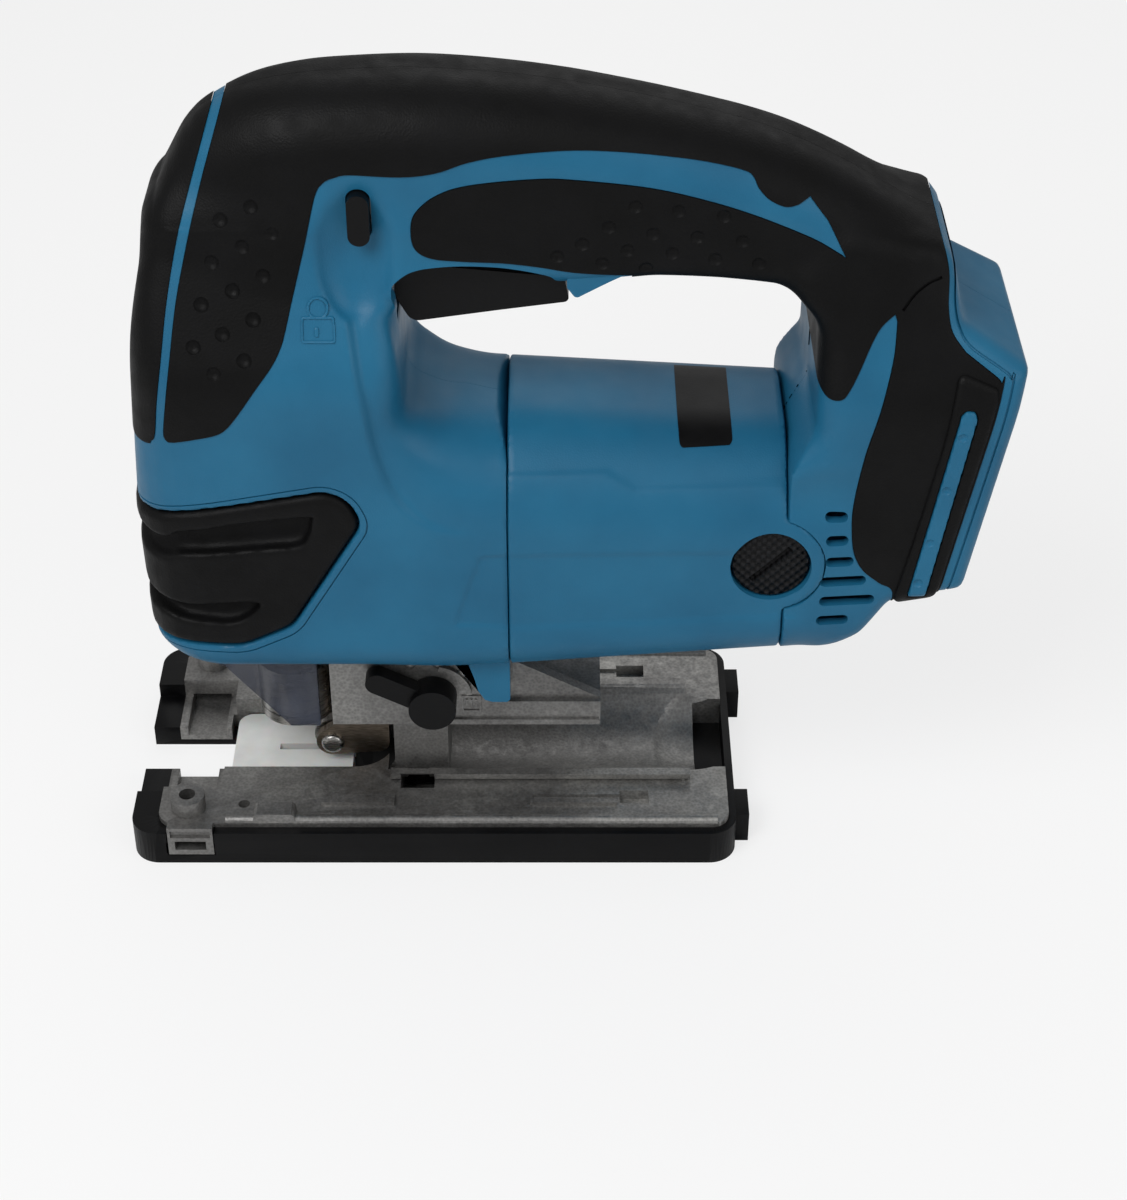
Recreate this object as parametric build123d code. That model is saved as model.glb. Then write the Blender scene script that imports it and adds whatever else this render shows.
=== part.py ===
from build123d import *
import math
import os

# Frame: x runs from the nose (negative) to the battery foot, z is up from the sole, y = 0 is the parting plane.

# Handle shells
head_half = 31.5
handle_half = 18.0
foot_half = 30.0
wall = 2.6
skin = 1.4
seam_front = -13.3
seam_rear = 53.0
nose_x = -103.9
head_bottom = 54.0
head_shoulder = 138.0
neck_height = 176.0
nose_round = 24.0
edge_round = 11.0
handle_round = 13.0
grip_under = 157.0
rib_thickness = 3.0
skirt_front = -18.5
skirt_low = 41.8
skirt_high = 60.0
skirt_thickness = 4.4

# Motor
motor_axis = 89.0
stator_radius = 26.0
stator_wall = 4.5
stator_start = -8.0
stator_length = 44.0
magnet_thickness = 4.0
air_gap = 0.7
core_start = 0.0
core_length = 29.0
slot_count = 12
slot_width = 3.0
slot_depth = 5.0
winding_radius = 14.0
winding_length = 6.0
commutator_radius = 10.0
commutator_length = 13.0
fan_radius = 23.0
fan_start = -30.0
fan_length = 9.0
fan_blades = 11
fan_plate = 1.6
shaft_radius = 3.95
pinion_bore = 2.9
bearing_radius = 11.0
bearing_width = 7.0
front_bearing = -42.0
rear_bearing = 57.0
running_fit = 0.05
spigot_radius = 24.0
spigot_gap = 0.5
housing_top = 125.5
housing_bottom = 53.5
housing_rise = 5.5
housing_fall = 4.0
housing_round = 25.0
housing_wall = 3.0

# Brush gear
cap_x = 49.5
cap_radius = 9.0
cap_thickness = 3.5
cap_recess = 1.6
cap_stem = 6.2
cap_stem_length = 4.0
cap_gap = 0.5
lobe_radius = 13.0
lobe_depth = 17.0
brush_width = 5.0
brush_height = 8.0
brush_length = 11.0

# Reduction gears and saw stroke
gear_module = 0.9
pinion_teeth = 10
gear_teeth = 44
gear_front = -57.0
gear_thickness = 7.0
tooth_share = 0.42
addendum = 0.75
dedendum = 1.15
flank_slope = 0.36
axle_radius = 6.0
stroke = 26.0
crank_pin_radius = 3.5
crank_pin_length = 5.3
open_pivot_gap = 0.4
slider_x = -70.0
slider_radius = 5.5
slider_top = 152.0
yoke_height = 16.0
yoke_half = 19.5
yoke_front = -74.0
guide_half = 11.4
guide_height = 11.0
lower_guide = 71.5
guide_clearance = 3.0

# Blade holder
holder_radius = 7.5
holder_bottom = 22.0
holder_top = 44.0
holder_socket = 8.0
holder_collar = 2.6
blade_slot_width = 1.7
blade_slot_length = 9.0
blade_slot_depth = 13.0
sleeve_wall = 2.4
sleeve_height = 14.0
sleeve_gap = 0.3
sleeve_tab = 3.0
sleeve_room = 0.6

# Gear housing casting
chamber_gap = 0.8
chamber_wall = 2.6
casting_front = -62.0
casting_back = -42.0
column_half = 14.0
block_front = -59.0
block_back = -15.0
block_half = 20.0
block_bottom = 31.0
block_top = 57.0
flange_back = 9.4
flange_height = 7.5
rib_half = 18.5
boss_wall = 3.4
boss_back = -34.0

# Orbit lever, fork and roller
lever_x = -33.0
lever_z = 41.0
lever_hub = 6.0
lever_hub_face = 27.0
lever_reach = 15.5
lever_rest = 28.0
lever_arm_width = 6.0
lever_arm_inner = 21.4
lever_arm_outer = 25.4
lever_shaft = 3.2
lever_shaft_length = 11.0
lever_face_gap = 0.4
fork_pivot_x = -51.0
fork_pivot_z = 38.0
fork_pin = 2.5
fork_gap = 0.35
fork_inner = 4.2
fork_plate = 2.5
fork_back = -46.0
roller_x = -61.0
roller_z = 13.8
roller_radius = 5.0
roller_half = 3.6
roller_pin = 2.0
roller_groove = 0.8
fork_end = 4.3
pin_head = 3.0
pin_head_height = 1.6

# Dust cover
cover_half = 15.0
cover_wall = 2.2
cover_front = -92.0
cover_back = -62.8
cover_top = 61.0
cover_bottom = 15.5
cover_slope = 46.0
cover_gap = 0.3

# Tool opener at the nose
opener_low = 65.2
opener_high = 110.8
opener_cap = 3.2
opener_depth = 4.0
opener_gap = 0.4
opener_liner = 2.2
opener_pivot_x = -86.0
opener_pivot_y = 27.5
opener_knuckle = 4.0
opener_pin = 1.7
opener_pin_reach = 4.0

# Trigger, lock button and switch
trigger_front = -38.6
trigger_back = 1.8
trigger_top = 161.6
trigger_floor = 140.0
trigger_half = 8.5
trigger_gap = 0.4
trigger_pivot_x = -1.5
trigger_pivot_z = 157.0
trigger_pin = 1.6
trigger_rise = 4.6
button_x = -45.5
button_z = 176.1
button_width = 5.0
button_height = 12.5
button_half = 20.6
button_gap = 0.3
switch_front = -34.0
switch_back = 0.0
switch_half = 11.0
rib_low = 162.0
rib_high = 192.0
rib_inset = 4.0
switch_bottom = 167.0
switch_top = 188.0

# Battery foot, whose rear face leans back
foot_low_x = 97.5
foot_low_z = 74.0
foot_high_x = 111.3
foot_high_z = 128.0
slot_low = 60.0
slot_high = 140.0
slot_floor = 9.0
slot_half = 21.5
rail_lip = 2.5
rail_depth = 3.5
slot_wall = 2.4
terminal_half = 14.0
terminal_height = 4.0
terminal_low = 86.0
terminal_high = 116.0
blade_half = 1.0
blade_rise = 4.0
blade_spacing = 16.0

# Screws through the parting plane
screw_radius = 1.9
screw_head = 3.5
screw_head_height = 3.0
screw_boss = 4.2
screw_seat = 7.0
screw_reach = 9.0
screw_head_gap = 0.3
screw_spots = [(-88, 141), (-54, 193), (16, 179), (67, 152), (75, 84)]

# Base
base_half = 38.5
base_front = -111.0
base_rear = 44.5
metal_inset = 2.5
metal_front = -104.0
metal_rear = 42.5
sole = 1.8
cover_rim = 10.0
rail_top = 11.5
lip_top = 14.0
lip_half = 20.0
base_round = 7.0
bevel_axis = 27.5
trough_radius = 22.0
trough_wall = 3.0
trough_front = -45.0
trough_rear = 33.0
notch_half = 14.0
notch_mouth = -90.0
mouth_half = 8.5
mouth_flare = 22.0
prong_top = 6.0
rear_notch_half = 14.0
rear_notch_front = 35.0
tab_length = 3.5
tab_inner = 20.0
tab_outer = 30.0
tab_top = 9.0
insert_front = -88.0
insert_back = -56.0
insert_top = 6.5
insert_gap = 0.4
insert_slit = 1.2
insert_slit_front = -76.0
ledge = 4.5
fence_boss_x = -96.6
fence_boss_y = 30.0
fence_boss_radius = 4.5
fence_boss_top = 16.0
fence_thread = 2.1
fence_slot_length = 10.5
fence_slot_low = 3.2
fence_slot_high = 6.8
groove_start = -8.0
groove_end = 14.5
groove_y = 26.0
groove_width = 2.0
groove_depth = 1.0
pocket_length = 7.5
pocket_width = 5.0
pocket_depth = 3.0

# Bevel saddle and its bolt
saddle_front = -44.0
saddle_back = -30.0
saddle_half = 15.0
saddle_gap = 0.3
key_half = 5.0
key_height = 4.0
key_reach = 18.0
bolt_x = -38.0
bolt_radius = 2.5
bolt_head = 4.0
bolt_head_low = 0.6
bolt_head_height = 2.6
bolt_gap = 0.4
bolt_depth = 9.0
bevel_limit = 45.0

# Worked out from the sizes above
gear_axis = motor_axis + gear_module * (pinion_teeth + gear_teeth) / 2
crank_radius = stroke / 2
yoke_rest = gear_axis - crank_radius
yoke_back = gear_front - crank_pin_length - open_pivot_gap
chamber_radius = gear_module * (gear_teeth / 2 + addendum) + chamber_gap
core_radius = stator_radius - stator_wall - magnet_thickness - air_gap
sleeve_low = holder_bottom + holder_collar + sleeve_gap
upper_guide = yoke_rest + yoke_height / 2 + stroke + guide_clearance
commutator_start = cap_x - commutator_length / 2
tall = 300.0

# Side outlines as (x, z, corner radius)
body_outline = [
    (-90, head_bottom, 7), (-102.6, 62, 8), (nose_x, 100, 80), (-99.5, 141, 120), (-91.5, 171.5, 60),
    (-82, 193, 12), (-62, 202, 20), (-33, 204.6, 100), (0, 201.7, 0), (0, head_bottom, 0),
]
head_section = [
    (-head_half, head_bottom, edge_round), (-head_half, head_shoulder, 30), (-handle_half, 168, 20),
    (-handle_half, neck_height, 8), (handle_half, neck_height, 8), (handle_half, 168, 20),
    (head_half, head_shoulder, 30), (head_half, head_bottom, edge_round),
]
nose_plan = [
    (nose_x, -head_half, nose_round), (0, -head_half, 0), (0, head_half, 0), (nose_x, head_half, nose_round),
]
foot_outline = [
    (seam_rear, 59, 0), (63, 60.5, 12), (75, 66, 8), (82, 74.5, 5), (foot_low_x, foot_low_z, 3),
    (foot_high_x, foot_high_z, 2.6), (97, 137, 5),
    (93.6, 143, 5), (94.3, 161, 4), (88, 171, 4), (84.5, 174.5, 2.8), (66, 174.5, 5), (54, 160, 3), (seam_rear, 121, 0),
]
foot_section = [
    (-foot_half, 56, edge_round), (-foot_half, 124, 40), (-19, 162, 20), (-19, 178, 6),
    (19, 178, 6), (19, 162, 20), (foot_half, 124, 40), (foot_half, 56, edge_round),
]
handle_stations = [
    (-88, 164, 181, 11.0), (-70, 161, 199.4, 16.5), (-35, grip_under, 204.6, 18.5), (0, grip_under, 201.7, handle_half),
    (40, 155.5, 191.3, handle_half), (66, 146, 179.6, 18.5), (84, 134, 168, 19.0),
]
finger_gap = [
    (-37, 151, 6), (-34, 136, 9), (-15, 126.5, 15), (53, 121.5, 6), (58.3, 127, 5), (58.3, 149, 8), (50, 156.2, 9),
    (20, 157.6, 20), (4, 155.5, 2), (-36, 155.5, 3),
]
finger_stop = [(2.6, 159, 0), (2.6, 152.4, 1), (4.6, 151.4, 0.8), (10.5, 159, 0)]
grip_region = [
    (-94, 124.3, 3), (-89.4, 150, 60), (-80, 189, 60), (-73, 208, 0), (0, 216, 0), (96, 190, 0), (91, 158, 0),
    (87.2, 150, 4), (90, 144, 4), (100.6, 136.8, 2), (101, 129, 5), (92.6, 83, 3), (80.5, 81, 5), (71.5, 88, 8),
    (68, 101, 10), (73, 137, 60), (75.5, 153.5, 1), (70, 145, 15), (66.5, 134, 4), (62, 130, 4), (57, 137, 4),
    (44, 140, 0), (10, 150, 0), (7, 161.5, 1), (-22, 163.8, 20), (-32.5, 165.5, 4), (-33, 177, 6), (-18, 183.6, 20),
    (6, 185, 60), (38, 179.6, 60), (63, 165.8, 0.6), (55, 179.5, 5), (41, 186.5, 8), (10, 191.6, 60), (-18, 190, 40),
    (-36, 186, 20), (-52.5, 188, 4), (-58, 168.7, 60), (-64, 145, 30), (-76, 125, 15),
]
nose_region = [
    (-97, 119.5, 2), (-92, 148, 60), (-81.6, 187, 60), (-75, 207, 0), (-120, 207, 0), (-120, 119.5, 0),
]
opener_outline = [
    (-115, opener_high, 0), (-52, opener_high, 8), (-48, 101, 5), (-66, 71, 9), (-78, opener_low, 12),
    (-115, opener_low, 0),
]
trigger_outline = [
    (trigger_front, 152.4, 3), (-33, 144.4, 3), (-14, 148.4, 30), (0.6, 150.6, 1.2), (trigger_back, 158.6, 1.5),
    (-34, trigger_top, 2), (trigger_front, 159, 2),
]
fork_outline = [
    (-56, 42.5, 3), (-58.4, 20.5, 2), (-62.5, 18, 2), (-65.2, 13.6, 3), (-61.5, 9.5, 3), (fork_back, 10.8, 3),
    (fork_back, 42.5, 3),
]


def rounded(points):
    stops = []
    edges = []
    for index, (x, y, radius) in enumerate(points):
        corner = Vector(x, y)
        back = (Vector(*points[index - 1][:2]) - corner).normalized()
        ahead = (Vector(*points[(index + 1) % len(points)][:2]) - corner).normalized()
        turn = math.radians(back.get_angle(ahead)) / 2
        reach = radius / math.tan(turn)
        enter = corner + back * reach
        leave = corner + ahead * reach
        stops.append((enter, leave))
        if radius:
            middle = corner + (back + ahead).normalized() * (radius / math.sin(turn) - radius)
            edges.append(ThreePointArc(enter, middle, leave))
    for index, (enter, leave) in enumerate(stops):
        edges.append(Line(stops[index - 1][1], enter))
    return make_face(edges)


def grown(points, amount):
    face = rounded(points)
    return offset(face, amount=amount) if amount else face


def side_prism(points, y_low, y_high, growth=0.0):
    return Pos(0, y_high, 0) * extrude(Plane.XZ * grown(points, growth), amount=y_high - y_low)


def block(x_low, x_high, y_low, y_high, z_low, z_high):
    middle = ((x_low + x_high) / 2, (y_low + y_high) / 2, (z_low + z_high) / 2)
    return Pos(*middle) * Box(x_high - x_low, y_high - y_low, z_high - z_low)


def rod_x(radius, x_low, x_high, y=0.0, z=0.0):
    return Pos((x_low + x_high) / 2, y, z) * Rot(0, 90, 0) * Cylinder(radius, x_high - x_low)


def rod_y(radius, y_low, y_high, x, z):
    return Pos(x, (y_low + y_high) / 2, z) * Rot(90, 0, 0) * Cylinder(radius, abs(y_high - y_low))


def rod_z(radius, z_low, z_high, x, y=0.0):
    return Pos(x, y, (z_low + z_high) / 2) * Cylinder(radius, z_high - z_low)


def both_sides(shape):
    return shape + mirror(shape, about=Plane.XZ)


def half(shape, side):
    keep = block(-tall, tall, min(0, side * tall), max(0, side * tall), -tall, tall)
    return shape & keep


# Outer forms of the handle shells, each drawn in by an inset
def head_form(inset):
    side = extrude(Plane.XZ * grown(body_outline, -inset), amount=tall, both=True)
    section = extrude(Plane.YZ.offset(-tall) * grown(head_section, -inset), amount=tall + seam_front)
    plan = extrude(Plane.XY * grown(nose_plan, -inset), amount=tall)
    return side & section & plan


def handle_form(inset):
    rings = []
    first = handle_stations[0][0]
    last = handle_stations[-1][0]
    for x, low, high, half_width in handle_stations:
        place = min(max(x, first + inset), last - inset)
        ring = RectangleRounded(
            2 * (half_width - inset), high - low - 2 * inset, min(handle_round, (high - low) / 2.4) - inset)
        rings.append(Plane.YZ.offset(place) * (Pos(0, (low + high) / 2) * ring))
    return loft(rings)


def foot_form(inset):
    side = extrude(Plane.XZ * grown(foot_outline, -inset), amount=tall, both=True)
    section = extrude(Plane.YZ.offset(seam_rear) * grown(foot_section, -inset), amount=tall)
    return side & section


def body_form(inset):
    form = head_form(inset) + handle_form(inset) + foot_form(inset)
    return form - side_prism(finger_gap, -tall, tall, inset)


# Slanted battery slot, measured in from the rear face
def slot_prism(depth_low, depth_high, half_width, low=slot_low, high=slot_high):
    lean = (foot_high_x - foot_low_x) / (foot_high_z - foot_low_z)
    corners = []
    for depth, z in [(depth_low, low), (depth_high, low), (depth_high, high), (depth_low, high)]:
        corners.append((foot_low_x + lean * (z - foot_low_z) - depth, z, 0))
    return side_prism(corners, -half_width, half_width)


# Motor housing envelope
def housing_form(inset):
    rings = []
    for x, low, high in [
        (seam_front, housing_bottom, housing_top),
        (seam_rear, housing_bottom + housing_rise, housing_top - housing_fall),
    ]:
        ring = RectangleRounded(2 * (head_half - inset), high - low - 2 * inset, housing_round - inset)
        rings.append(Plane.YZ.offset(x) * (Pos(0, (low + high) / 2) * ring))
    return loft(rings)


# Toothed disc about the x axis, with a tooth pointing along the given angle
def gear_disc(teeth, x_low, x_high, z, tooth_angle):
    pitch = gear_module * teeth / 2
    tip = pitch + addendum * gear_module
    root = pitch - dedendum * gear_module
    width = tooth_share * math.pi * gear_module
    tip_half = (width / 2 - flank_slope * addendum * gear_module) / tip
    root_half = (width / 2 + flank_slope * dedendum * gear_module) / root
    corners = []
    for index in range(teeth):
        middle = math.radians(tooth_angle) + index * math.tau / teeth
        for radius, angle in [
            (root, middle - root_half), (tip, middle - tip_half), (tip, middle + tip_half), (root, middle + root_half),
        ]:
            corners.append((radius * math.cos(angle), radius * math.sin(angle)))
    face = make_face(Polyline(*corners, close=True))
    return Pos(0, 0, z) * extrude(Plane.YZ.offset(x_low) * face, amount=x_high - x_low)


nodes = {}

# Handle shells with the overmould pockets, the opener recess and the battery slot
outer = body_form(0)
hollow = body_form(wall)
opener_limit = block(opener_pivot_x, tall, 0, tall, 0, tall)
opener_zone = side_prism(opener_outline, -tall, tall)
recess_limit = block(opener_pivot_x + opener_knuckle + opener_gap, tall, 0, tall, 0, tall)
knuckle_room = rod_z(
    opener_knuckle + opener_gap, opener_low - opener_gap, opener_high + opener_gap, opener_pivot_x, opener_pivot_y)
recess = (side_prism(opener_outline, -tall, tall, opener_gap) - head_form(opener_depth + opener_gap)) - recess_limit
recess += knuckle_room & side_prism(opener_outline, -tall, tall, opener_gap)
backing = head_form(0) - head_form(opener_depth + opener_gap + opener_liner)
backing &= side_prism(opener_outline, -tall, tall, opener_gap + opener_liner)
knuckle_wall = rod_z(
    opener_knuckle + opener_gap + opener_liner, opener_low - opener_cap, opener_high + opener_cap, opener_pivot_x,
    opener_pivot_y) & head_form(0)
slot_block = slot_prism(-1, slot_floor + slot_wall, slot_half + slot_wall) & foot_form(0)
slot_cut = slot_prism(-3, slot_floor, slot_half - rail_lip) + slot_prism(rail_depth, slot_floor, slot_half)
front_rib = switch_front + rib_inset
back_rib = switch_back - 2 * rib_inset
switch_ribs = block(front_rib, front_rib + rib_thickness, -tall, tall, rib_low, rib_high)
switch_ribs += block(back_rib, back_rib + rib_thickness, -tall, tall, rib_low, rib_high)
switch_ribs -= block(-tall, tall, -switch_half, switch_half, 0, tall)
trigger_room = block(
    trigger_front - 2.5 * trigger_gap, trigger_back + 2 * trigger_gap, -trigger_half - trigger_gap,
    trigger_half + trigger_gap, trigger_floor, trigger_top + trigger_rise)
button_form = Plane.XZ * SlotOverall(button_height, button_width, rotation=90)
button_room = Plane.XZ * SlotOverall(button_height + 2 * button_gap, button_width + 2 * button_gap, rotation=90)
button_hole = Pos(button_x, 0, button_z) * extrude(button_room, amount=tall, both=True)
trigger_boss = rod_y(2 * trigger_pin, -tall, tall, trigger_pivot_x, trigger_pivot_z) & hollow
front_mouth = block(
    cover_front - cover_gap, casting_front, -cover_half - cover_gap, cover_half + cover_gap, 0, head_bottom + 4 * wall)
rear_mouth = block(casting_front, seam_front, -block_half, block_half, 0, head_bottom + 4 * wall)
lobe = both_sides(rod_y(lobe_radius, head_half - lobe_depth, head_half, cap_x, motor_axis))
lobe &= housing_form(0) + foot_form(0)

grip_zone = side_prism(grip_region, -tall, tall) + side_prism(nose_region, -tall, tall)
grip_skin = (outer - body_form(skin)) & grip_zone
grip_skin -= slot_prism(-3, 2.0, slot_half + slot_wall)
grip_skin -= button_hole
grip_skin -= trigger_room

shell = outer - hollow
shell += backing
shell += knuckle_wall
shell += slot_block
shell += side_prism(finger_stop, -trigger_half, trigger_half)
shell += block(skirt_front, seam_front, -block_half - skirt_thickness, -block_half, skirt_low, skirt_high)
shell += switch_ribs & hollow
shell += trigger_boss
for x, z in screw_spots:
    shell += rod_y(screw_boss, -tall, tall, x, z) & hollow
shell -= slot_cut
shell -= recess
shell -= rod_z(
    opener_pin, opener_low - opener_pin_reach, opener_high + opener_pin_reach, opener_pivot_x, opener_pivot_y)
shell -= grip_skin
shell -= button_hole
shell -= trigger_room
shell -= rod_y(trigger_pin, -trigger_half - 5, trigger_half + 5, trigger_pivot_x, trigger_pivot_z)
shell -= front_mouth
shell -= rear_mouth
shell -= lobe
shell -= rod_x(spigot_radius + spigot_gap, seam_rear - 1, seam_rear + 2 * wall, 0, motor_axis)
shell -= rod_x(stator_radius, seam_front - 2 * wall, seam_front + 1, 0, motor_axis)
for x, z in screw_spots:
    shell -= rod_y(screw_radius, -screw_reach, tall, x, z)
    shell -= rod_y(screw_head + screw_head_gap, screw_seat, tall, x, z)
    grip_skin -= rod_y(screw_head + screw_head_gap, screw_seat, tall, x, z)
for name, side in [("left", -1), ("right", 1)]:
    nodes["handle_shell_" + name] = half(shell, side)
    nodes["grip_overmould_" + name] = half(grip_skin, side)

screws = []
for x, z in screw_spots:
    shank = rod_y(screw_radius, -screw_reach, screw_seat, x, z)
    head = rod_y(screw_head, screw_seat, screw_seat + screw_head_height, x, z)
    head -= rod_y(screw_radius, screw_seat + screw_head_height / 2, screw_seat + screw_head_height, x, z)
    screws.append(shank + head)
nodes["housing_screws"] = Compound(children=screws)

# Motor housing with the stator rings, cap lobes and the rear bearing spigot
housing = housing_form(0) - housing_form(housing_wall)
inside = housing_form(housing_wall)
for ring_x in [stator_start + 2, stator_start + stator_length - 6]:
    ring = rod_x(tall / 4, ring_x, ring_x + rib_thickness, 0, motor_axis) & inside
    housing += ring - rod_x(stator_radius, ring_x - 1, ring_x + rib_thickness + 1, 0, motor_axis)
housing += lobe
spigot = rod_x(spigot_radius, seam_rear - housing_wall, rear_bearing + bearing_width, 0, motor_axis)
spigot -= rod_x(spigot_radius - housing_wall, seam_rear - 2 * housing_wall, rear_bearing - 1, 0, motor_axis)
end_plate = rod_x(tall / 4, seam_rear - housing_wall, seam_rear, 0, motor_axis) & inside
housing += end_plate - rod_x(spigot_radius - housing_wall, 0, seam_rear + 1, 0, motor_axis)
housing += spigot
housing -= rod_x(bearing_radius, rear_bearing, rear_bearing + bearing_width + 1, 0, motor_axis)
housing -= rod_x(bearing_radius - 3, 0, rear_bearing + 1, 0, motor_axis)
cap_face = head_half - cap_recess
for side in [-1, 1]:
    cap_room = rod_y(cap_radius + cap_gap, side * (cap_face - cap_thickness), side * tall, cap_x, motor_axis)
    stem_room = rod_y(cap_stem, side * commutator_radius, side * tall, cap_x, motor_axis)
    housing -= cap_room
    housing -= stem_room
nodes["motor_housing"] = housing

caps = []
holders = []
brushes = []
holder_high = cap_face - cap_thickness - cap_stem_length
for side in [-1, 1]:
    cap = rod_y(cap_radius, side * (cap_face - cap_thickness), side * cap_face, cap_x, motor_axis)
    cap += rod_y(cap_stem, side * holder_high, side * (cap_face - cap_thickness), cap_x, motor_axis)
    cap -= Pos(cap_x, side * cap_face, motor_axis) * Rot(0, 45, 0) * Box(2 * cap_radius - 5, 2, 1.6)
    caps.append(cap)
    tube = rod_y(cap_stem, side * (commutator_radius + 2), side * holder_high, cap_x, motor_axis)
    tube -= Pos(cap_x, 0, motor_axis) * Box(brush_width, tall, brush_height)
    holders.append(tube)
    reach = commutator_radius + running_fit
    brushes.append(
        Pos(cap_x, side * (reach + brush_length / 2 + 0.3), motor_axis) * Box(brush_width, brush_length, brush_height))
nodes["brush_caps"] = Compound(children=caps)
nodes["brush_holders"] = Compound(children=holders)
nodes["carbon_brushes"] = Compound(children=brushes)

stator_end = stator_start + stator_length
stator = rod_x(stator_radius, stator_start, stator_end, 0, motor_axis)
stator -= rod_x(stator_radius - stator_wall, stator_start - 1, stator_end + 1, 0, motor_axis)
nodes["motor_stator"] = stator
magnet_ring = rod_x(stator_radius - stator_wall, core_start, core_start + core_length, 0, motor_axis)
magnet_ring -= rod_x(core_radius + air_gap, core_start - 1, core_start + core_length + 1, 0, motor_axis)
magnet_ring -= block(-tall, tall, -8, 8, 0, tall)
nodes["field_magnets"] = magnet_ring

bearings = []
for start in [front_bearing, rear_bearing]:
    ring = rod_x(bearing_radius, start, start + bearing_width, 0, motor_axis)
    ring -= rod_x(shaft_radius + running_fit, start - 1, start + bearing_width + 1, 0, motor_axis)
    bearings.append(ring)
nodes["motor_bearings"] = Compound(children=bearings)

# Rotor
shaft = rod_x(shaft_radius, front_bearing - 5, rear_bearing + bearing_width - 0.6, 0, motor_axis)
shaft += rod_x(pinion_bore, gear_front, front_bearing - 5, 0, motor_axis)
nodes["armature_shaft"] = shaft
core = rod_x(core_radius, core_start, core_start + core_length, 0, motor_axis)
for index in range(slot_count):
    cut = Pos(0, 0, core_radius - slot_depth / 2 + 1) * Box(tall, slot_width, slot_depth + 2)
    core -= Pos(0, 0, motor_axis) * Rot(index * 360 / slot_count, 0, 0) * cut
core -= rod_x(shaft_radius, core_start - 1, core_start + core_length + 1, 0, motor_axis)
nodes["armature_core"] = core
windings = []
for start in [core_start - winding_length, core_start + core_length]:
    coil = rod_x(winding_radius, start, start + winding_length, 0, motor_axis)
    coil = fillet(coil.edges(), winding_length / 3)
    windings.append(coil - rod_x(shaft_radius, start - 1, start + winding_length + 1, 0, motor_axis))
nodes["armature_windings"] = Compound(children=windings)
commutator = rod_x(commutator_radius, commutator_start, commutator_start + commutator_length, 0, motor_axis)
commutator -= rod_x(shaft_radius, commutator_start - 1, commutator_start + commutator_length + 1, 0, motor_axis)
nodes["commutator"] = commutator
fan = rod_x(fan_radius, fan_start, fan_start + fan_plate, 0, motor_axis)
fan += rod_x(2 * shaft_radius, fan_start, fan_start + fan_length, 0, motor_axis)
for index in range(fan_blades):
    blade_middle = (fan_radius + 2 * shaft_radius) / 2
    blade_span = fan_radius - 2 * shaft_radius + 2
    blade = Pos(fan_start + fan_length / 2, 0, blade_middle - 1) * Box(fan_length, fan_plate, blade_span)
    blade &= rod_x(fan_radius, fan_start, fan_start + fan_length)
    fan += Pos(0, 0, motor_axis) * Rot(index * 360 / fan_blades, 0, 0) * blade
fan -= rod_x(shaft_radius, fan_start - 1, fan_start + fan_length + 1, 0, motor_axis)
nodes["cooling_fan"] = fan
pinion = gear_disc(pinion_teeth, gear_front, gear_front + gear_thickness, motor_axis, 90 + 180 / pinion_teeth)
pinion -= rod_x(pinion_bore, gear_front - 1, gear_front + gear_thickness + 1, 0, motor_axis)
nodes["motor_pinion"] = pinion

# Crank gear on its fixed axle
gear_back = gear_front + gear_thickness
gear = gear_disc(gear_teeth, gear_front, gear_back, gear_axis, -90)
gear -= rod_x(axle_radius + running_fit, gear_front - 1, gear_back + 1, 0, gear_axis)
gear -= rod_x(crank_pin_radius, gear_front - 1, gear_back + 1, 0, yoke_rest)
nodes["crank_gear"] = gear
nodes["crank_pin"] = rod_x(crank_pin_radius, gear_front - crank_pin_length, gear_back, 0, yoke_rest)
axle = rod_x(axle_radius, gear_front - 1, casting_back, 0, gear_axis)
axle += rod_x(axle_radius + 2, gear_back + chamber_gap / 2, gear_back + 2 * chamber_gap, 0, gear_axis)
nodes["gear_axle"] = axle

# Gear housing casting
chamber_back = gear_back + 2 * chamber_gap
casting = rod_x(chamber_radius + chamber_wall, casting_front, casting_back, 0, gear_axis)
casting += block(casting_front, casting_back, -column_half, column_half, block_top - 6, upper_guide + guide_height)
casting += rod_x(bearing_radius + boss_wall, casting_back, boss_back, 0, motor_axis)
casting += block(block_front, block_back, -block_half, block_half, block_bottom, block_top)
casting += block(block_back, flange_back, -block_half, block_half, block_bottom, block_bottom + flange_height)
gusset = [
    (block_back, block_bottom + flange_height, 0), (flange_back, block_bottom + flange_height, 0),
    (block_back, block_top - 5, 0),
]
casting += both_sides(side_prism(gusset, rib_half - rib_thickness, rib_half))
casting -= rod_x(chamber_radius, casting_front - 1, chamber_back, 0, gear_axis)
pinion_room = gear_module * (pinion_teeth / 2 + addendum) + chamber_gap
casting -= rod_x(pinion_room, casting_front - 1, boss_back + 1, 0, motor_axis)
casting -= rod_x(bearing_radius, front_bearing, boss_back + 1, 0, motor_axis)
casting -= rod_x(axle_radius, casting_front, casting_back + 1, 0, gear_axis)
casting -= rod_z(
    holder_radius + sleeve_wall + sleeve_room, 0, sleeve_low + sleeve_height + stroke + sleeve_room, slider_x)
fork_half = fork_inner + fork_plate + fork_gap
casting -= block(block_front - 1, fork_back + 3, -fork_half, fork_half, block_bottom - 1, fork_pivot_z + 9)
casting -= rod_y(fork_pin, -block_half + 1, block_half + 1, fork_pivot_x, fork_pivot_z)
casting -= block(
    saddle_front - 3, saddle_back + key_reach, -key_half - saddle_gap, key_half + saddle_gap, block_bottom - 1,
    block_bottom + key_height)
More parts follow.
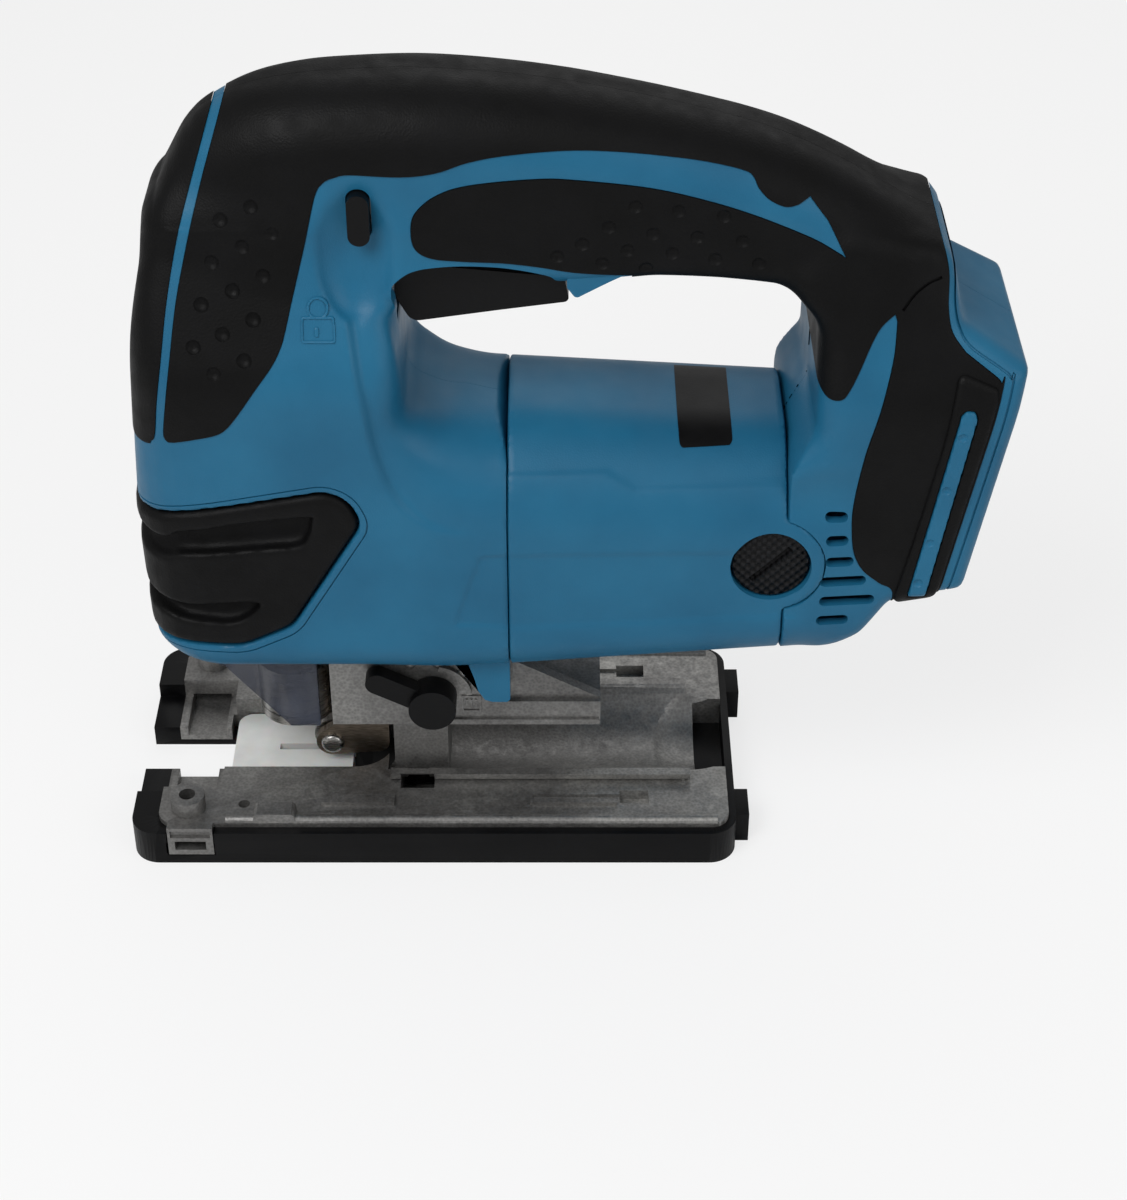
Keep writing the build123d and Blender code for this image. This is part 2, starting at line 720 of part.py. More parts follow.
casting -= rod_y(
    lever_shaft + running_fit, -block_half - 1, -block_half + lever_shaft_length + 1, lever_x, lever_z)
nodes["gear_housing"] = casting

# Slider guides
for name, low in [("lower", lower_guide), ("upper", upper_guide)]:
    guide = block(yoke_front - 4, casting_front, -guide_half, guide_half, low, low + guide_height)
    guide -= rod_z(slider_radius + running_fit, low - 1, low + guide_height + 1, slider_x)
    nodes[name + "_slider_guide"] = guide

# Slider with its yoke, blade holder and clamp sleeve
slider = rod_z(slider_radius, holder_top - holder_socket, slider_top, slider_x)
slider += block(
    yoke_front, yoke_back, -yoke_half, yoke_half, yoke_rest - yoke_height / 2, yoke_rest + yoke_height / 2)
pin_track = block(
    slider_x + slider_radius, yoke_back + 1, -crank_radius - crank_pin_radius - 1,
    crank_radius + crank_pin_radius + 1, yoke_rest - crank_pin_radius - open_pivot_gap,
    yoke_rest + crank_pin_radius + open_pivot_gap)
nodes["slider_yoke"] = slider - pin_track
holder = rod_z(holder_radius, holder_bottom, holder_top, slider_x)
holder += rod_z(holder_radius + sleeve_wall, holder_bottom, holder_bottom + holder_collar, slider_x)
holder -= rod_z(slider_radius, holder_top - holder_socket, holder_top + 1, slider_x)
holder -= block(
    slider_x - blade_slot_length / 2, slider_x + blade_slot_length / 2, -blade_slot_width / 2, blade_slot_width / 2,
    holder_bottom - 1, holder_bottom + blade_slot_depth)
nodes["blade_holder"] = holder
sleeve = rod_z(holder_radius + sleeve_wall, sleeve_low, sleeve_low + sleeve_height, slider_x)
sleeve += block(
    slider_x - holder_radius - sleeve_wall - 1, slider_x - holder_radius, -sleeve_tab / 2, sleeve_tab / 2, sleeve_low,
    sleeve_low + sleeve_height)
sleeve -= rod_z(holder_radius + sleeve_gap, sleeve_low - 1, sleeve_low + sleeve_height + 1, slider_x)
nodes["clamp_sleeve"] = sleeve

# Roller fork, its pivot and the guide roller
fork_width = fork_inner + fork_plate
fork = side_prism(fork_outline, -fork_width, fork_width)
fork += rod_y(fork_end, -fork_width, fork_width, roller_x, roller_z)
fork -= block(-tall, fork_back - fork_plate, -fork_inner, fork_inner, 0, tall)
fork -= rod_y(fork_pin + running_fit, -fork_width - 1, fork_width + 1, fork_pivot_x, fork_pivot_z)
fork -= rod_y(roller_pin, -fork_width - 1, fork_width + 1, roller_x, roller_z)
nodes["roller_fork"] = fork
nodes["fork_pivot_pin"] = rod_y(fork_pin, -block_half + 1, block_half, fork_pivot_x, fork_pivot_z)
axle_pin = rod_y(roller_pin, -fork_width, fork_width, roller_x, roller_z)
dome = rod_y(pin_head, -fork_width - pin_head_height, -fork_width, roller_x, roller_z)
axle_pin += fillet(dome.faces().sort_by(Axis.Y)[0].edges(), pin_head_height * 0.8)
nodes["roller_pin"] = axle_pin
roller = rod_y(roller_radius, -roller_half, roller_half, roller_x, roller_z)
groove_ring = rod_y(roller_radius + 1, -roller_groove, roller_groove, roller_x, roller_z)
groove_ring -= rod_y(roller_radius - roller_groove, -roller_half, roller_half, roller_x, roller_z)
roller -= groove_ring
roller -= rod_y(roller_pin + running_fit, -roller_half - 1, roller_half + 1, roller_x, roller_z)
nodes["guide_roller"] = roller

# Orbit lever on the left of the casting
lever = rod_y(lever_hub, -lever_hub_face, -block_half - lever_face_gap, lever_x, lever_z)
arm = SlotCenterToCenter(lever_reach, lever_arm_width)
arm = Pos(-lever_reach / 2, 0) * arm
arm_solid = extrude(Plane.XZ * (Rot(0, 0, -lever_rest) * arm), amount=lever_arm_outer - lever_arm_inner)
lever += Pos(lever_x, -lever_arm_inner, lever_z) * arm_solid
lever += rod_y(
    lever_shaft, -block_half - lever_face_gap, -block_half + lever_shaft_length, lever_x, lever_z)
nodes["orbit_lever"] = lever

# Tool opener round the nose and its hinge pin
opener = (head_form(0) - head_form(opener_depth)) & opener_zone
opener -= opener_limit
knuckle = rod_z(opener_knuckle, 0, tall, opener_pivot_x, opener_pivot_y) & opener_zone & head_form(0)
opener += knuckle
opener -= rod_z(opener_pin + running_fit, 0, tall, opener_pivot_x, opener_pivot_y)
nodes["tool_opener"] = opener
nodes["opener_pin"] = rod_z(
    opener_pin, opener_low - opener_pin_reach, opener_high + opener_pin_reach, opener_pivot_x, opener_pivot_y)

# Clear dust cover, a channel open to the rear with a sloped lower edge
channel = block(cover_front, cover_back, -cover_half, cover_half, cover_bottom, cover_top)
front_corners = channel.edges().filter_by(Axis.Z).group_by(Axis.X)[0]
channel = fillet(front_corners, cover_half / 2)
hollow_channel = block(
    cover_front + cover_wall, tall, -cover_half + cover_wall, cover_half - cover_wall, 0, cover_top + 1)
hollow_corners = hollow_channel.edges().filter_by(Axis.Z).group_by(Axis.X)[0]
channel -= fillet(hollow_corners, cover_half / 2 - cover_wall)
slope_cut = [
    (cover_front - 2, cover_slope, 0), (cover_front + 6, cover_slope, 0), (cover_back + 1, cover_bottom, 0),
    (cover_back + 1, 0, 0), (cover_front - 2, 0, 0),
]
nodes["dust_cover"] = channel - side_prism(slope_cut, -tall, tall)

# Trigger, its pin, the lock button and the switch
trigger = side_prism(trigger_outline, -trigger_half, trigger_half)
trigger -= rod_y(trigger_pin + running_fit, -tall, tall, trigger_pivot_x, trigger_pivot_z)
nodes["trigger"] = trigger
nodes["trigger_pin"] = rod_y(trigger_pin, -trigger_half - 5, trigger_half + 5, trigger_pivot_x, trigger_pivot_z)
nodes["lock_button"] = Pos(button_x, 0, button_z) * extrude(button_form, amount=button_half, both=True)
nodes["power_switch"] = block(switch_front, switch_back, -switch_half, switch_half, switch_bottom, switch_top)

# Battery terminals
terminal = slot_prism(slot_floor - terminal_height, slot_floor, terminal_half, terminal_low, terminal_high)
blades = []
for offset_y in [-blade_spacing / 2, blade_spacing / 2]:
    plate = slot_prism(
        slot_floor - terminal_height - blade_rise, slot_floor - terminal_height, blade_half, terminal_low + 6,
        terminal_high - 6)
    blades.append(Pos(0, offset_y, 0) * plate)
nodes["terminal_block"] = terminal
nodes["terminal_blades"] = Compound(children=blades)

# Base casting
metal_half = base_half - metal_inset
deck = block(metal_front, metal_rear, -metal_half, metal_half, sole, rail_top)
deck = fillet(deck.edges().filter_by(Axis.Z), base_round - metal_inset)
lip = rod_x(trough_radius + trough_wall, trough_front, trough_rear, 0, bevel_axis)
deck += lip & block(-tall, tall, -lip_half, lip_half, sole, lip_top)
deck -= rod_x(trough_radius, trough_front - 1, trough_rear, 0, bevel_axis)
scoop = Pos(trough_rear, 0, bevel_axis) * Sphere(trough_radius)
deck -= scoop
deck -= block(rear_notch_front, tall, -rear_notch_half, rear_notch_half, 0, tall)
notch = block(notch_mouth, trough_front, -notch_half, notch_half, -1, tall)
notch = fillet(notch.edges().filter_by(Axis.Z).group_by(Axis.X)[1], notch_half * 0.7)
mouth = block(metal_front - 20, notch_mouth + 1, -mouth_half, mouth_half, -1, tall)
upper_mouth = block(metal_front - 20, notch_mouth + 1, -mouth_flare, mouth_flare, prong_top, tall)
deck -= notch
deck -= mouth
deck -= upper_mouth
for side in [-1, 1]:
    deck += rod_z(fence_boss_radius, rail_top - 1, fence_boss_top, fence_boss_x, side * fence_boss_y)
    deck -= rod_z(fence_thread, fence_slot_low, fence_boss_top + 1, fence_boss_x, side * fence_boss_y)
    channel_low = groove_y - groove_width / 2
    channel_high = groove_y + groove_width / 2
    low, high = sorted([side * channel_low, side * channel_high])
    deck -= block(groove_start, groove_end, low, high, rail_top - groove_depth, tall)
    low, high = sorted([side * (groove_y - pocket_width / 2), side * (groove_y + pocket_width / 2)])
    deck -= block(groove_end, groove_end + pocket_length, low, high, rail_top - pocket_depth, tall)
fence_slot = block(
    fence_boss_x - fence_slot_length / 2, fence_boss_x + fence_slot_length / 2, -tall, tall, fence_slot_low,
    fence_slot_high)
deck -= fence_slot
bolt_slot = block(bolt_x - bolt_radius - bolt_gap, bolt_x + bolt_radius + bolt_gap, -tall, tall, -1, tall)
bolt_fan = math.radians(bevel_limit) + math.asin((bolt_radius + bolt_gap) / trough_radius)
head_fan = math.radians(bevel_limit) + math.asin((bolt_head + bolt_gap) / trough_radius)


def sector(angle):
    reach = 3 * trough_radius
    side = reach * math.sin(angle)
    drop = reach * math.cos(angle)
    face = make_face(Polyline((0, 0), (side, -drop), (0, -2 * reach), (-side, -drop), close=True))
    return Pos(0, 0, bevel_axis) * extrude(Plane.YZ.offset(-tall) * face, amount=2 * tall)


head_ring_inner = bevel_axis - bolt_head_low - bolt_head_height - bolt_gap
head_reach = math.hypot(bolt_head, bevel_axis - bolt_head_low) + bolt_gap
head_slot = rod_x(
    head_reach, bolt_x - bolt_head - bolt_gap, bolt_x + bolt_head + bolt_gap, 0, bevel_axis)
head_slot -= rod_x(head_ring_inner, -tall, tall, 0, bevel_axis)
bolt_path = bolt_slot & sector(bolt_fan) & rod_x(head_reach, -tall, tall, 0, bevel_axis)
bolt_path += head_slot & sector(head_fan)
deck -= bolt_path
nodes["base_plate"] = deck

# Sole cover round the base casting
pan = block(base_front, base_rear, -base_half, base_half, 0, cover_rim)
pan = fillet(pan.edges().filter_by(Axis.Z), base_round)
metal_room = block(metal_front, metal_rear, -metal_half, metal_half, sole, tall)
pan -= fillet(metal_room.edges().filter_by(Axis.Z), base_round - metal_inset)
pan -= block(base_front - 1, insert_back + ledge, -mouth_half, mouth_half, -1, tall)
pan -= block(rear_notch_front, metal_rear, -rear_notch_half, rear_notch_half, -1, tall)
pan -= block(base_front - 1, metal_front, -mouth_flare, mouth_flare, prong_top, tall)
pan -= fence_slot
pan -= bolt_path
for side in [-1, 1]:
    low, high = sorted([side * tab_inner, side * tab_outer])
    pan += block(base_rear, base_rear + tab_length, low, high, 0, tab_top)
nodes["base_cover"] = pan

# Anti-splinter insert on the ledges of the sole cover
insert_half = notch_half - insert_gap
insert = block(insert_front, insert_back, -insert_half, insert_half, sole, insert_top)
insert = fillet(insert.edges().filter_by(Axis.Z).group_by(Axis.X)[0], 4)
insert &= block(-tall, tall, -tall, tall, 0, tall) - rod_x(
    trough_radius - 1.2, -tall, tall, 0, bevel_axis)
insert -= block(insert_slit_front, tall, -insert_slit, insert_slit, 0, tall)
nodes["anti_splinter_insert"] = insert

# Bevel saddle that slides under the casting and rocks in the trough
saddle = rod_x(trough_radius - saddle_gap, saddle_front, saddle_back, 0, bevel_axis)
saddle &= block(-tall, tall, -saddle_half, saddle_half, 0, block_bottom - saddle_gap)
saddle += block(
    saddle_front, saddle_back, -key_half, key_half, block_bottom - 1, block_bottom + key_height - saddle_gap)
saddle -= rod_z(bolt_radius, 0, bevel_axis - trough_radius + bolt_depth, bolt_x)
nodes["bevel_saddle"] = saddle
bolt = rod_z(bolt_radius, bolt_head_low, bevel_axis - trough_radius + bolt_depth, bolt_x)
bolt += rod_z(bolt_head, bolt_head_low, bolt_head_low + bolt_head_height, bolt_x)
nodes["bevel_bolt"] = bolt

os.makedirs("parts", exist_ok=True)
for name, shape in nodes.items():
    export_step(shape, "parts/" + name + ".step")
    print(name, round(shape.volume))
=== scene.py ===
import math
import bmesh
import bpy
import numpy as np
from mathutils import Matrix, Vector


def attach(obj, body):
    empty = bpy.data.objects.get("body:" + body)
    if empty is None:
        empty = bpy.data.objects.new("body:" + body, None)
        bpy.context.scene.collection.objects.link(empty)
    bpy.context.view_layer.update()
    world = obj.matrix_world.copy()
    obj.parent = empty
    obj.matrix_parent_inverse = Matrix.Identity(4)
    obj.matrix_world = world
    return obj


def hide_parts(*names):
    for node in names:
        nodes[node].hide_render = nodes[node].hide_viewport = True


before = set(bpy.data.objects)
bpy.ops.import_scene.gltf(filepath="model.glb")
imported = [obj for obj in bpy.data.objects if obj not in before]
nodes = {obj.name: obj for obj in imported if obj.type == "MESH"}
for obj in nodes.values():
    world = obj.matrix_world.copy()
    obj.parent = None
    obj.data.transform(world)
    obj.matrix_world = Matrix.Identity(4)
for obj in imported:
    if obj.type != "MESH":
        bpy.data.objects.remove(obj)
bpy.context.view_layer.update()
mm = 0.001
print("frame loaded:", len(nodes), "nodes")


# Signals: a socket with operators, and one way to add any other node

class Signal:
    def __init__(self, finish, socket):
        self.finish = finish
        self.socket = socket

    def math(self, operation, first, second=None):
        values = {0: first} if second is None else {0: first, 1: second}
        return self.finish.add("ShaderNodeMath", {"operation": operation}, values)

    def __add__(self, other):
        return self.math("ADD", self, other)

    def __radd__(self, other):
        return self.math("ADD", other, self)

    def __mul__(self, other):
        return self.math("MULTIPLY", self, other)

    def __rmul__(self, other):
        return self.math("MULTIPLY", other, self)


class Finish:
    def __init__(self, name):
        self.material = bpy.data.materials.new(name)
        self.material.use_nodes = True
        self.tree = self.material.node_tree
        self.shader = self.tree.nodes["Principled BSDF"]

    def add(self, kind, settings=None, values=None, output=0):
        node = self.tree.nodes.new(kind)
        for key, value in (settings or {}).items():
            if key == "stops":
                self.setStops(node.color_ramp, value)
            else:
                setattr(node, key, value)
        for key, value in (values or {}).items():
            self.feed(node.inputs[key], value)
        return Signal(self, node.outputs[output])

    def setStops(self, ramp, stops):
        while len(ramp.elements) < len(stops):
            ramp.elements.new(0.5)
        for element, (place, colour) in zip(ramp.elements, stops):
            element.position = place
            element.color = (*colour, 1) if len(colour) == 3 else colour

    def feed(self, socket, value):
        if isinstance(value, Signal):
            self.tree.links.new(value.socket, socket)
        else:
            socket.default_value = value

    def set(self, **values):
        for key, value in values.items():
            self.feed(self.shader.inputs[key.replace("_", " ")], value)

    def math(self, operation, first, second=None):
        return first.math(operation, first, second)

    def place(self):
        return self.add("ShaderNodeTexCoord", output=3)

    def noise(self, scale, detail=3.0, rough=0.5):
        values = {"Vector": self.place(), "Scale": scale, "Detail": detail, "Roughness": rough}
        return self.add("ShaderNodeTexNoise", {}, values)

    def cells(self, scale):
        return self.add("ShaderNodeTexVoronoi", {}, {"Vector": self.place(), "Scale": scale})

    def ramp(self, signal, *stops):
        return self.add("ShaderNodeValToRGB", {"stops": stops}, {"Fac": signal})

    def spread(self, signal, low, high, fromLow=0.3, fromHigh=0.7):
        names = ("Value", "From Min", "From Max", "To Min", "To Max")
        return self.add("ShaderNodeMapRange", {}, dict(zip(names, (signal, fromLow, fromHigh, low, high))))

    def blend(self, share, first, second):
        values = {0: share, 6: first, 7: second}
        return self.add("ShaderNodeMix", {"data_type": "RGBA"}, values, output=2)

    def bump(self, height, distance, strength=1.0):
        values = {"Height": height, "Distance": distance, "Strength": strength}
        return self.add("ShaderNodeBump", {}, values)


def tint(hexValue):
    parts = [int(hexValue[i:i + 2], 16) / 255 for i in (0, 2, 4)]
    return tuple(p / 12.92 if p < 0.04045 else ((p + 0.055) / 1.055) ** 2.4 for p in parts) + (1,)


tealValues = {
    "low": "1a5b7c", "high": "206688", "cloud": (38, 4), "sheen": 140, "rough": (0.36, 0.46), "specular": 0.24,
    "grain": 2600, "grainDepth": 0.00005, "bump": 0.5,
}
rubberValues = {
    "low": "060606", "high": "0b0b0c", "cloud": (60, 5), "sheen": 200, "rough": (0.46, 0.6), "specular": 0.13,
    "grain": 2100, "grainDepth": 0.00008, "bump": 0.6,
}


def grainedPlastic(name, v):
    finish = Finish(name)
    cloud = finish.noise(*v["cloud"])
    finish.set(Base_Color=finish.blend(finish.spread(cloud, 0, 1), tint(v["low"]), tint(v["high"])))
    sheen = finish.spread(finish.noise(v["sheen"]), *v["rough"])
    finish.set(Roughness=sheen, Specular_IOR_Level=v["specular"])
    finish.set(Normal=finish.bump(finish.cells(v["grain"]), v["grainDepth"], v["bump"]))
    return finish.material


# raisedHighlight is a painted highlight colour for the tops of the knurl on the brush caps
mouldedValues = {
    "low": "070708", "high": "0c0c0d", "cloud": (90, 4), "rough": (0.34, 0.48), "specular": 0.15,
    "grain": 1500, "grainDepth": 0.00005, "knurl": 2600.0, "knurlDepth": 0.0005, "raisedHighlight": "1d1d1f",
}


def blackMoulding():
    finish = Finish("blackMoulding")
    v = mouldedValues
    cloud = finish.noise(*v["cloud"])
    finish.set(Base_Color=finish.blend(finish.spread(cloud, 0, 1), tint(v["low"]), tint(v["high"])))
    finish.set(Roughness=finish.spread(cloud, *v["rough"]), Specular_IOR_Level=v["specular"])
    finish.set(Normal=finish.bump(finish.noise(v["grain"]), v["grainDepth"], 0.5))
    return finish.material


def knurledCap():
    finish = Finish("knurledCap")
    v = mouldedValues
    spot = finish.add("ShaderNodeSeparateXYZ", {}, {0: finish.place()})
    rise = Signal(finish, spot.socket.node.outputs[2])
    rows = finish.math("SINE", spot * v["knurl"]) * finish.math("SINE", rise * v["knurl"])
    share = finish.spread(rows, 0, 1, -0.2, 0.5)
    # painted highlight: the raised knurl points are coloured lighter, as if lit, the hollows keep the dark
    # colour
    finish.set(Base_Color=finish.blend(share, tint(v["low"]), tint(v["raisedHighlight"])))
    finish.set(Roughness=finish.spread(rows, *v["rough"], -0.5, 0.5), Specular_IOR_Level=v["specular"])
    finish.set(Normal=finish.bump(rows, v["knurlDepth"], 0.8))
    return finish.material


castValues = {"low": "666564", "mid": "878684", "high": "aeada9", "rough": (0.36, 0.58), "grain": 1300}


def dieCast():
    finish = Finish("dieCast")
    v = castValues
    low, mid, high = [tint(v[key])[:3] for key in ("low", "mid", "high")]
    cloud = finish.noise(30, 6, 0.6)
    speck = finish.cells(v["grain"])
    tone = finish.spread(cloud, 0.1, 0.8) + finish.spread(speck, -0.18, 0.18, 0.1, 0.9)
    finish.set(Base_Color=finish.ramp(tone, (0.0, low), (0.5, mid), (1.0, high)))
    finish.set(Metallic=0.85, Roughness=finish.spread(finish.noise(420, 4), *v["rough"]))
    grit = finish.noise(v["grain"], 4, 0.6) + 0.5 * finish.noise(240, 3)
    finish.set(Normal=finish.bump(grit, 0.00016, 0.55))
    return finish.material


def steel(name, low, high, rough, stretch=(1, 1, 14)):
    finish = Finish(name)
    spot = finish.add("ShaderNodeMapping", {}, {"Vector": finish.place(), "Scale": stretch})
    lines = finish.add("ShaderNodeTexNoise", {}, {"Vector": spot, "Scale": 420.0, "Detail": 4.0})
    finish.set(Base_Color=finish.ramp(finish.spread(lines, 0, 1), (0, tint(low)[:3]), (1, tint(high)[:3])))
    finish.set(Metallic=1.0, Roughness=finish.spread(lines, *rough))
    finish.set(Normal=finish.bump(lines, 0.00004, 0.4))
    return finish.material


def copper(name="copperWire", low="7d4524", high="b06a3c"):
    finish = Finish(name)
    lines = finish.add("ShaderNodeTexWave", {"bands_direction": "X"},
                       {"Vector": finish.place(), "Scale": 900.0, "Distortion": 1.5})
    finish.set(Base_Color=finish.ramp(lines, (0, tint(low)[:3]), (1, tint(high)[:3])))
    finish.set(Metallic=0.9, Roughness=finish.spread(lines, 0.3, 0.45, 0, 1))
    finish.set(Normal=finish.bump(lines, 0.0001, 0.6))
    return finish.material


def smokyClear():
    finish = Finish("smokyClear")
    haze = finish.noise(120, 4)
    finish.set(Base_Color=finish.blend(finish.spread(haze, 0, 1), tint("2b3142"), tint("454c5d")))
    finish.set(Roughness=finish.spread(haze, 0.08, 0.2), Alpha=finish.spread(haze, 0.55, 0.66))
    finish.set(Specular_IOR_Level=0.6)
    finish.set(Normal=finish.bump(finish.noise(300), 0.00004, 0.4))
    return finish.material


def milkyPlastic():
    finish = Finish("milkyPlastic")
    haze = finish.noise(90, 4)
    finish.set(Base_Color=finish.blend(finish.spread(haze, 0, 1), tint("cfd0cd"), tint("e6e7e5")))
    finish.set(Roughness=finish.spread(haze, 0.3, 0.42), Subsurface_Weight=0.25, Subsurface_Scale=0.002)
    finish.set(Normal=finish.bump(finish.noise(900), 0.00004, 0.4))
    return finish.material


teal = grainedPlastic("tealPlastic", tealValues)
rubber = grainedPlastic("blackRubber", rubberValues)
moulding = blackMoulding()
knurled = knurledCap()
cast = dieCast()
brightSteel = steel("groundSteel", "8f8e8c", "c9c7c3", (0.22, 0.38))
warmSteel = steel("warmSteel", "6a5f52", "a3978a", (0.3, 0.46))
darkSteel = steel("stackedSteel", "2c2c2d", "4a4a4b", (0.4, 0.55))
brass = steel("brass", "8a6f3a", "c2a465", (0.28, 0.42))
wire = copper()
clear = smokyClear()
milky = milkyPlastic()
print("finishes made")


# Outlines in the side view, as (x, z, corner radius) in mm

def cornerPath(points, pieces=10):
    path = []
    count = len(points)
    for i, (x, z, radius) in enumerate(points):
        corner = np.array((x, z), float)
        back = np.array(points[i - 1][:2], float) - corner
        ahead = np.array(points[(i + 1) % count][:2], float) - corner
        back /= np.linalg.norm(back)
        ahead /= np.linalg.norm(ahead)
        if not radius:
            path.append(corner)
            continue
        turn = math.acos(np.clip(back @ ahead, -1, 1)) / 2
        middle = back + ahead
        centre = corner + middle / np.linalg.norm(middle) * radius / math.sin(turn)
        start = corner + back * radius / math.tan(turn) - centre
        end = corner + ahead * radius / math.tan(turn) - centre
        sweep = math.atan2(start[0] * end[1] - start[1] * end[0], start @ end)
        for k in range(pieces + 1):
            a = sweep * k / pieces
            turnBy = np.array(((math.cos(a), -math.sin(a)), (math.sin(a), math.cos(a))))
            path.append(centre + turnBy @ start)
    return np.array(path)


def splinePoint(before, here, after, later, t):
    bend = (2 * before - 5 * here + 4 * after - later) * t ** 2
    return 0.5 * (2 * here + (after - before) * t + bend + (3 * here - before - 3 * after + later) * t ** 3)


def smoothPath(points, pieces=6):
    p = np.array(points, float)
    before, after, later = np.roll(p, 1, 0), np.roll(p, -1, 0), np.roll(p, -2, 0)
    path = [splinePoint(before, p, after, later, k / pieces) for k in range(pieces)]
    return np.stack(path, 1).reshape(-1, 2)


def run(*points, pieces=6):
    p = np.array([points[0], *points, points[-1]], float)
    path = []
    for ends in zip(p, p[1:], p[2:], p[3:]):
        path.extend(splinePoint(*ends, k / pieces) for k in range(pieces))
    path.append(p[-1])
    return np.array(path)


def pathField(path, a, b):
    a, b = np.broadcast_arrays(a, b)
    best = np.full(a.shape, 1e9)
    inside = np.zeros(a.shape, bool)
    for (ax, az), (bx, bz) in zip(np.roll(path, 1, 0), path):
        ex, ez = bx - ax, bz - az
        length = max(ex * ex + ez * ez, 1e-9)
        t = np.clip(((a - ax) * ex + (b - az) * ez) / length, 0, 1)
        best = np.minimum(best, (a - ax - t * ex) ** 2 + (b - az - t * ez) ** 2)
        if az != bz:
            crosses = (az > b) != (bz > b)
            inside ^= crosses & (a < (bx - ax) * (b - az) / (bz - az) + ax)
    return np.where(inside, -1, 1) * np.sqrt(best)


def softMax(a, b, k):
    h = np.maximum(k - np.abs(a - b), 0) / k
    return np.maximum(a, b) + h * h * k / 4


def softMin(a, b, k):
    return -softMax(-a, -b, k)


def boxField(xs, ys, zs, low, high):
    field = None
    for values, a, b, shape in zip((xs, ys, zs), low, high, ((-1, 1, 1), (1, -1, 1), (1, 1, -1))):
        side = (np.abs(values - (a + b) / 2) - (b - a) / 2).reshape(shape)
        field = side if field is None else np.maximum(field, side)
    return field


def sideField(path, xs, zs):
    return pathField(path, xs[:, None], zs[None, :])[:, None, :]


bodyValues = {
    "planHalf": 35.5, "planEnd": 4.0, "noseX": -107.0, "noseRound": 28.5, "wall": 2.6, "edge": 8.0,
    "seamFront": -13.3, "seamRear": 53.0, "seamGap": 0.07, "seamEdge": 0.5, "footEdge": 5.0, "collarEdge": 1.0,
    "join": 9.0, "joinFade": (-48, -16), "joinLeast": 0.5, "neckDrop": 3.0, "neckTop": (146, 158),
    "handleEnd": 10.0, "gapEdge": 8.0,
    "side": [
        (-86, 50, 12), (-102.6, 62, 8), (-103.9, 100, 80), (-100.1, 142.5, 120), (-94, 172, 60),
        (-89, 190.5, 10), (-72, 201, 16), (-33, 203.2, 100), (0, 200.2, 0), (0, 50, 0),
    ],
    "section": [
        (-31.5, 54, 11), (-31.5, 138, 30), (-18, 168, 20), (-18, 178, 8), (18, 178, 8), (18, 168, 20),
        (31.5, 138, 30), (31.5, 54, 11),
    ],
    "footSide": [
        (49, 55, 0), (63, 58.4, 12), (73, 66.6, 9), (79.6, 77, 6), (96.6, 80.2, 3), (106.7, 140.4, 2.4),
        (91, 150.2, 5), (89.4, 157, 6), (87.8, 163.5, 4), (84.4, 168.4, 2.8), (66, 168.4, 5), (54, 160, 3),
        (49, 121, 0),
    ],
    "footSection": [
        (-30, 53, 11), (-30, 132, 30), (-19, 164, 20), (-19, 178, 6), (19, 178, 6), (19, 164, 20),
        (30, 132, 30), (30, 53, 11),
    ],
    "top": [
        (-92, 174), (-88.5, 184.5), (-83, 192.2), (-77, 196.6), (-70, 199.6), (-58.7, 201.9), (-47.5, 202.8),
        (-33, 203.2), (-14, 202), (0, 200.2), (12.6, 197.8), (26, 194.8), (40, 191), (51, 187), (63, 181),
        (70, 176.8), (76, 172.6), (84, 166),
    ],
    "under": [(-92, 166), (-88, 164), (-70, 161), (-35, 156), (0, 156), (40, 155.5), (66, 146), (84, 134)],
    "width": [(-92, 9), (-88, 11), (-70, 16.5), (-35, 18.5), (0, 18), (40, 18), (66, 18.5), (84, 19)],
    "fingerGap": [
        (-38, 151, 4), (-37.4, 126, 7), (-28, 121.6, 12), (-13, 121, 20), (53, 118, 6), (58.3, 124, 5),
        (58.3, 149, 8), (50, 156.2, 9), (20, 157.6, 20), (4, 154.6, 2), (-36, 154.6, 3),
    ],
    "handleRound": 14.5, "underRound": 6.0, "roundShare": 0.8, "toMotor": (-48, -16), "toMotorTop": (118, 142),
    "collar": (53, 69), "collarDrop": 2.2, "fromMotor": (54, 80), "fromMotorTop": (96, 118),
    "scoop": {"centre": (-46.3, 23.0, 171.0), "radii": (9.9, 6.4, 18.6), "edge": 1.2},
    "shoulder": [
        (-46.5, 164), (-48.3, 156.5), (-47.9, 150.5), (-46.7, 141.8), (-45.4, 133.9), (-44.2, 124.9),
        (-42.2, 115.8), (-38.7, 107.7), (-32.1, 101.1), (-24.4, 98.9), (-13, 98.5), (0, 98.5), (0, 128),
        (-20, 136), (-34, 150),
    ],
    "shoulderDrop": 1.9, "shoulderWidth": 2.4,
    "band": [
        (-13, 92.4), (-19.9, 91.6), (-22.5, 84), (-26.4, 71.3), (-13, 70.7), (20, 72.4), (56, 74.6),
        (56, 93.6), (20, 93),
    ],
    "bandDrop": 0.45, "bandWidth": 1.0,
}


def curve(points, xs):
    p = np.array(points, float)
    gaps = np.diff(p[:, 0])
    slopes = np.diff(p[:, 1]) / gaps
    tangents = np.concatenate((slopes[:1], (slopes[:-1] + slopes[1:]) / 2, slopes[-1:]))
    x = np.clip(xs, p[0, 0], p[-1, 0])
    i = np.clip(np.searchsorted(p[:, 0], x) - 1, 0, len(gaps) - 1)
    t = (x - p[i, 0]) / gaps[i]
    start = p[i, 1] * (1 + 2 * t) * (1 - t) ** 2 + tangents[i] * gaps[i] * t * (1 - t) ** 2
    end = p[i + 1, 1] * t ** 2 * (3 - 2 * t) + tangents[i + 1] * gaps[i] * t ** 2 * (t - 1)
    return (start + end)[:, None, None]


def step01(field, width):
    t = np.clip(0.5 - field / width, 0, 1)
    return t * t * (3 - 2 * t)


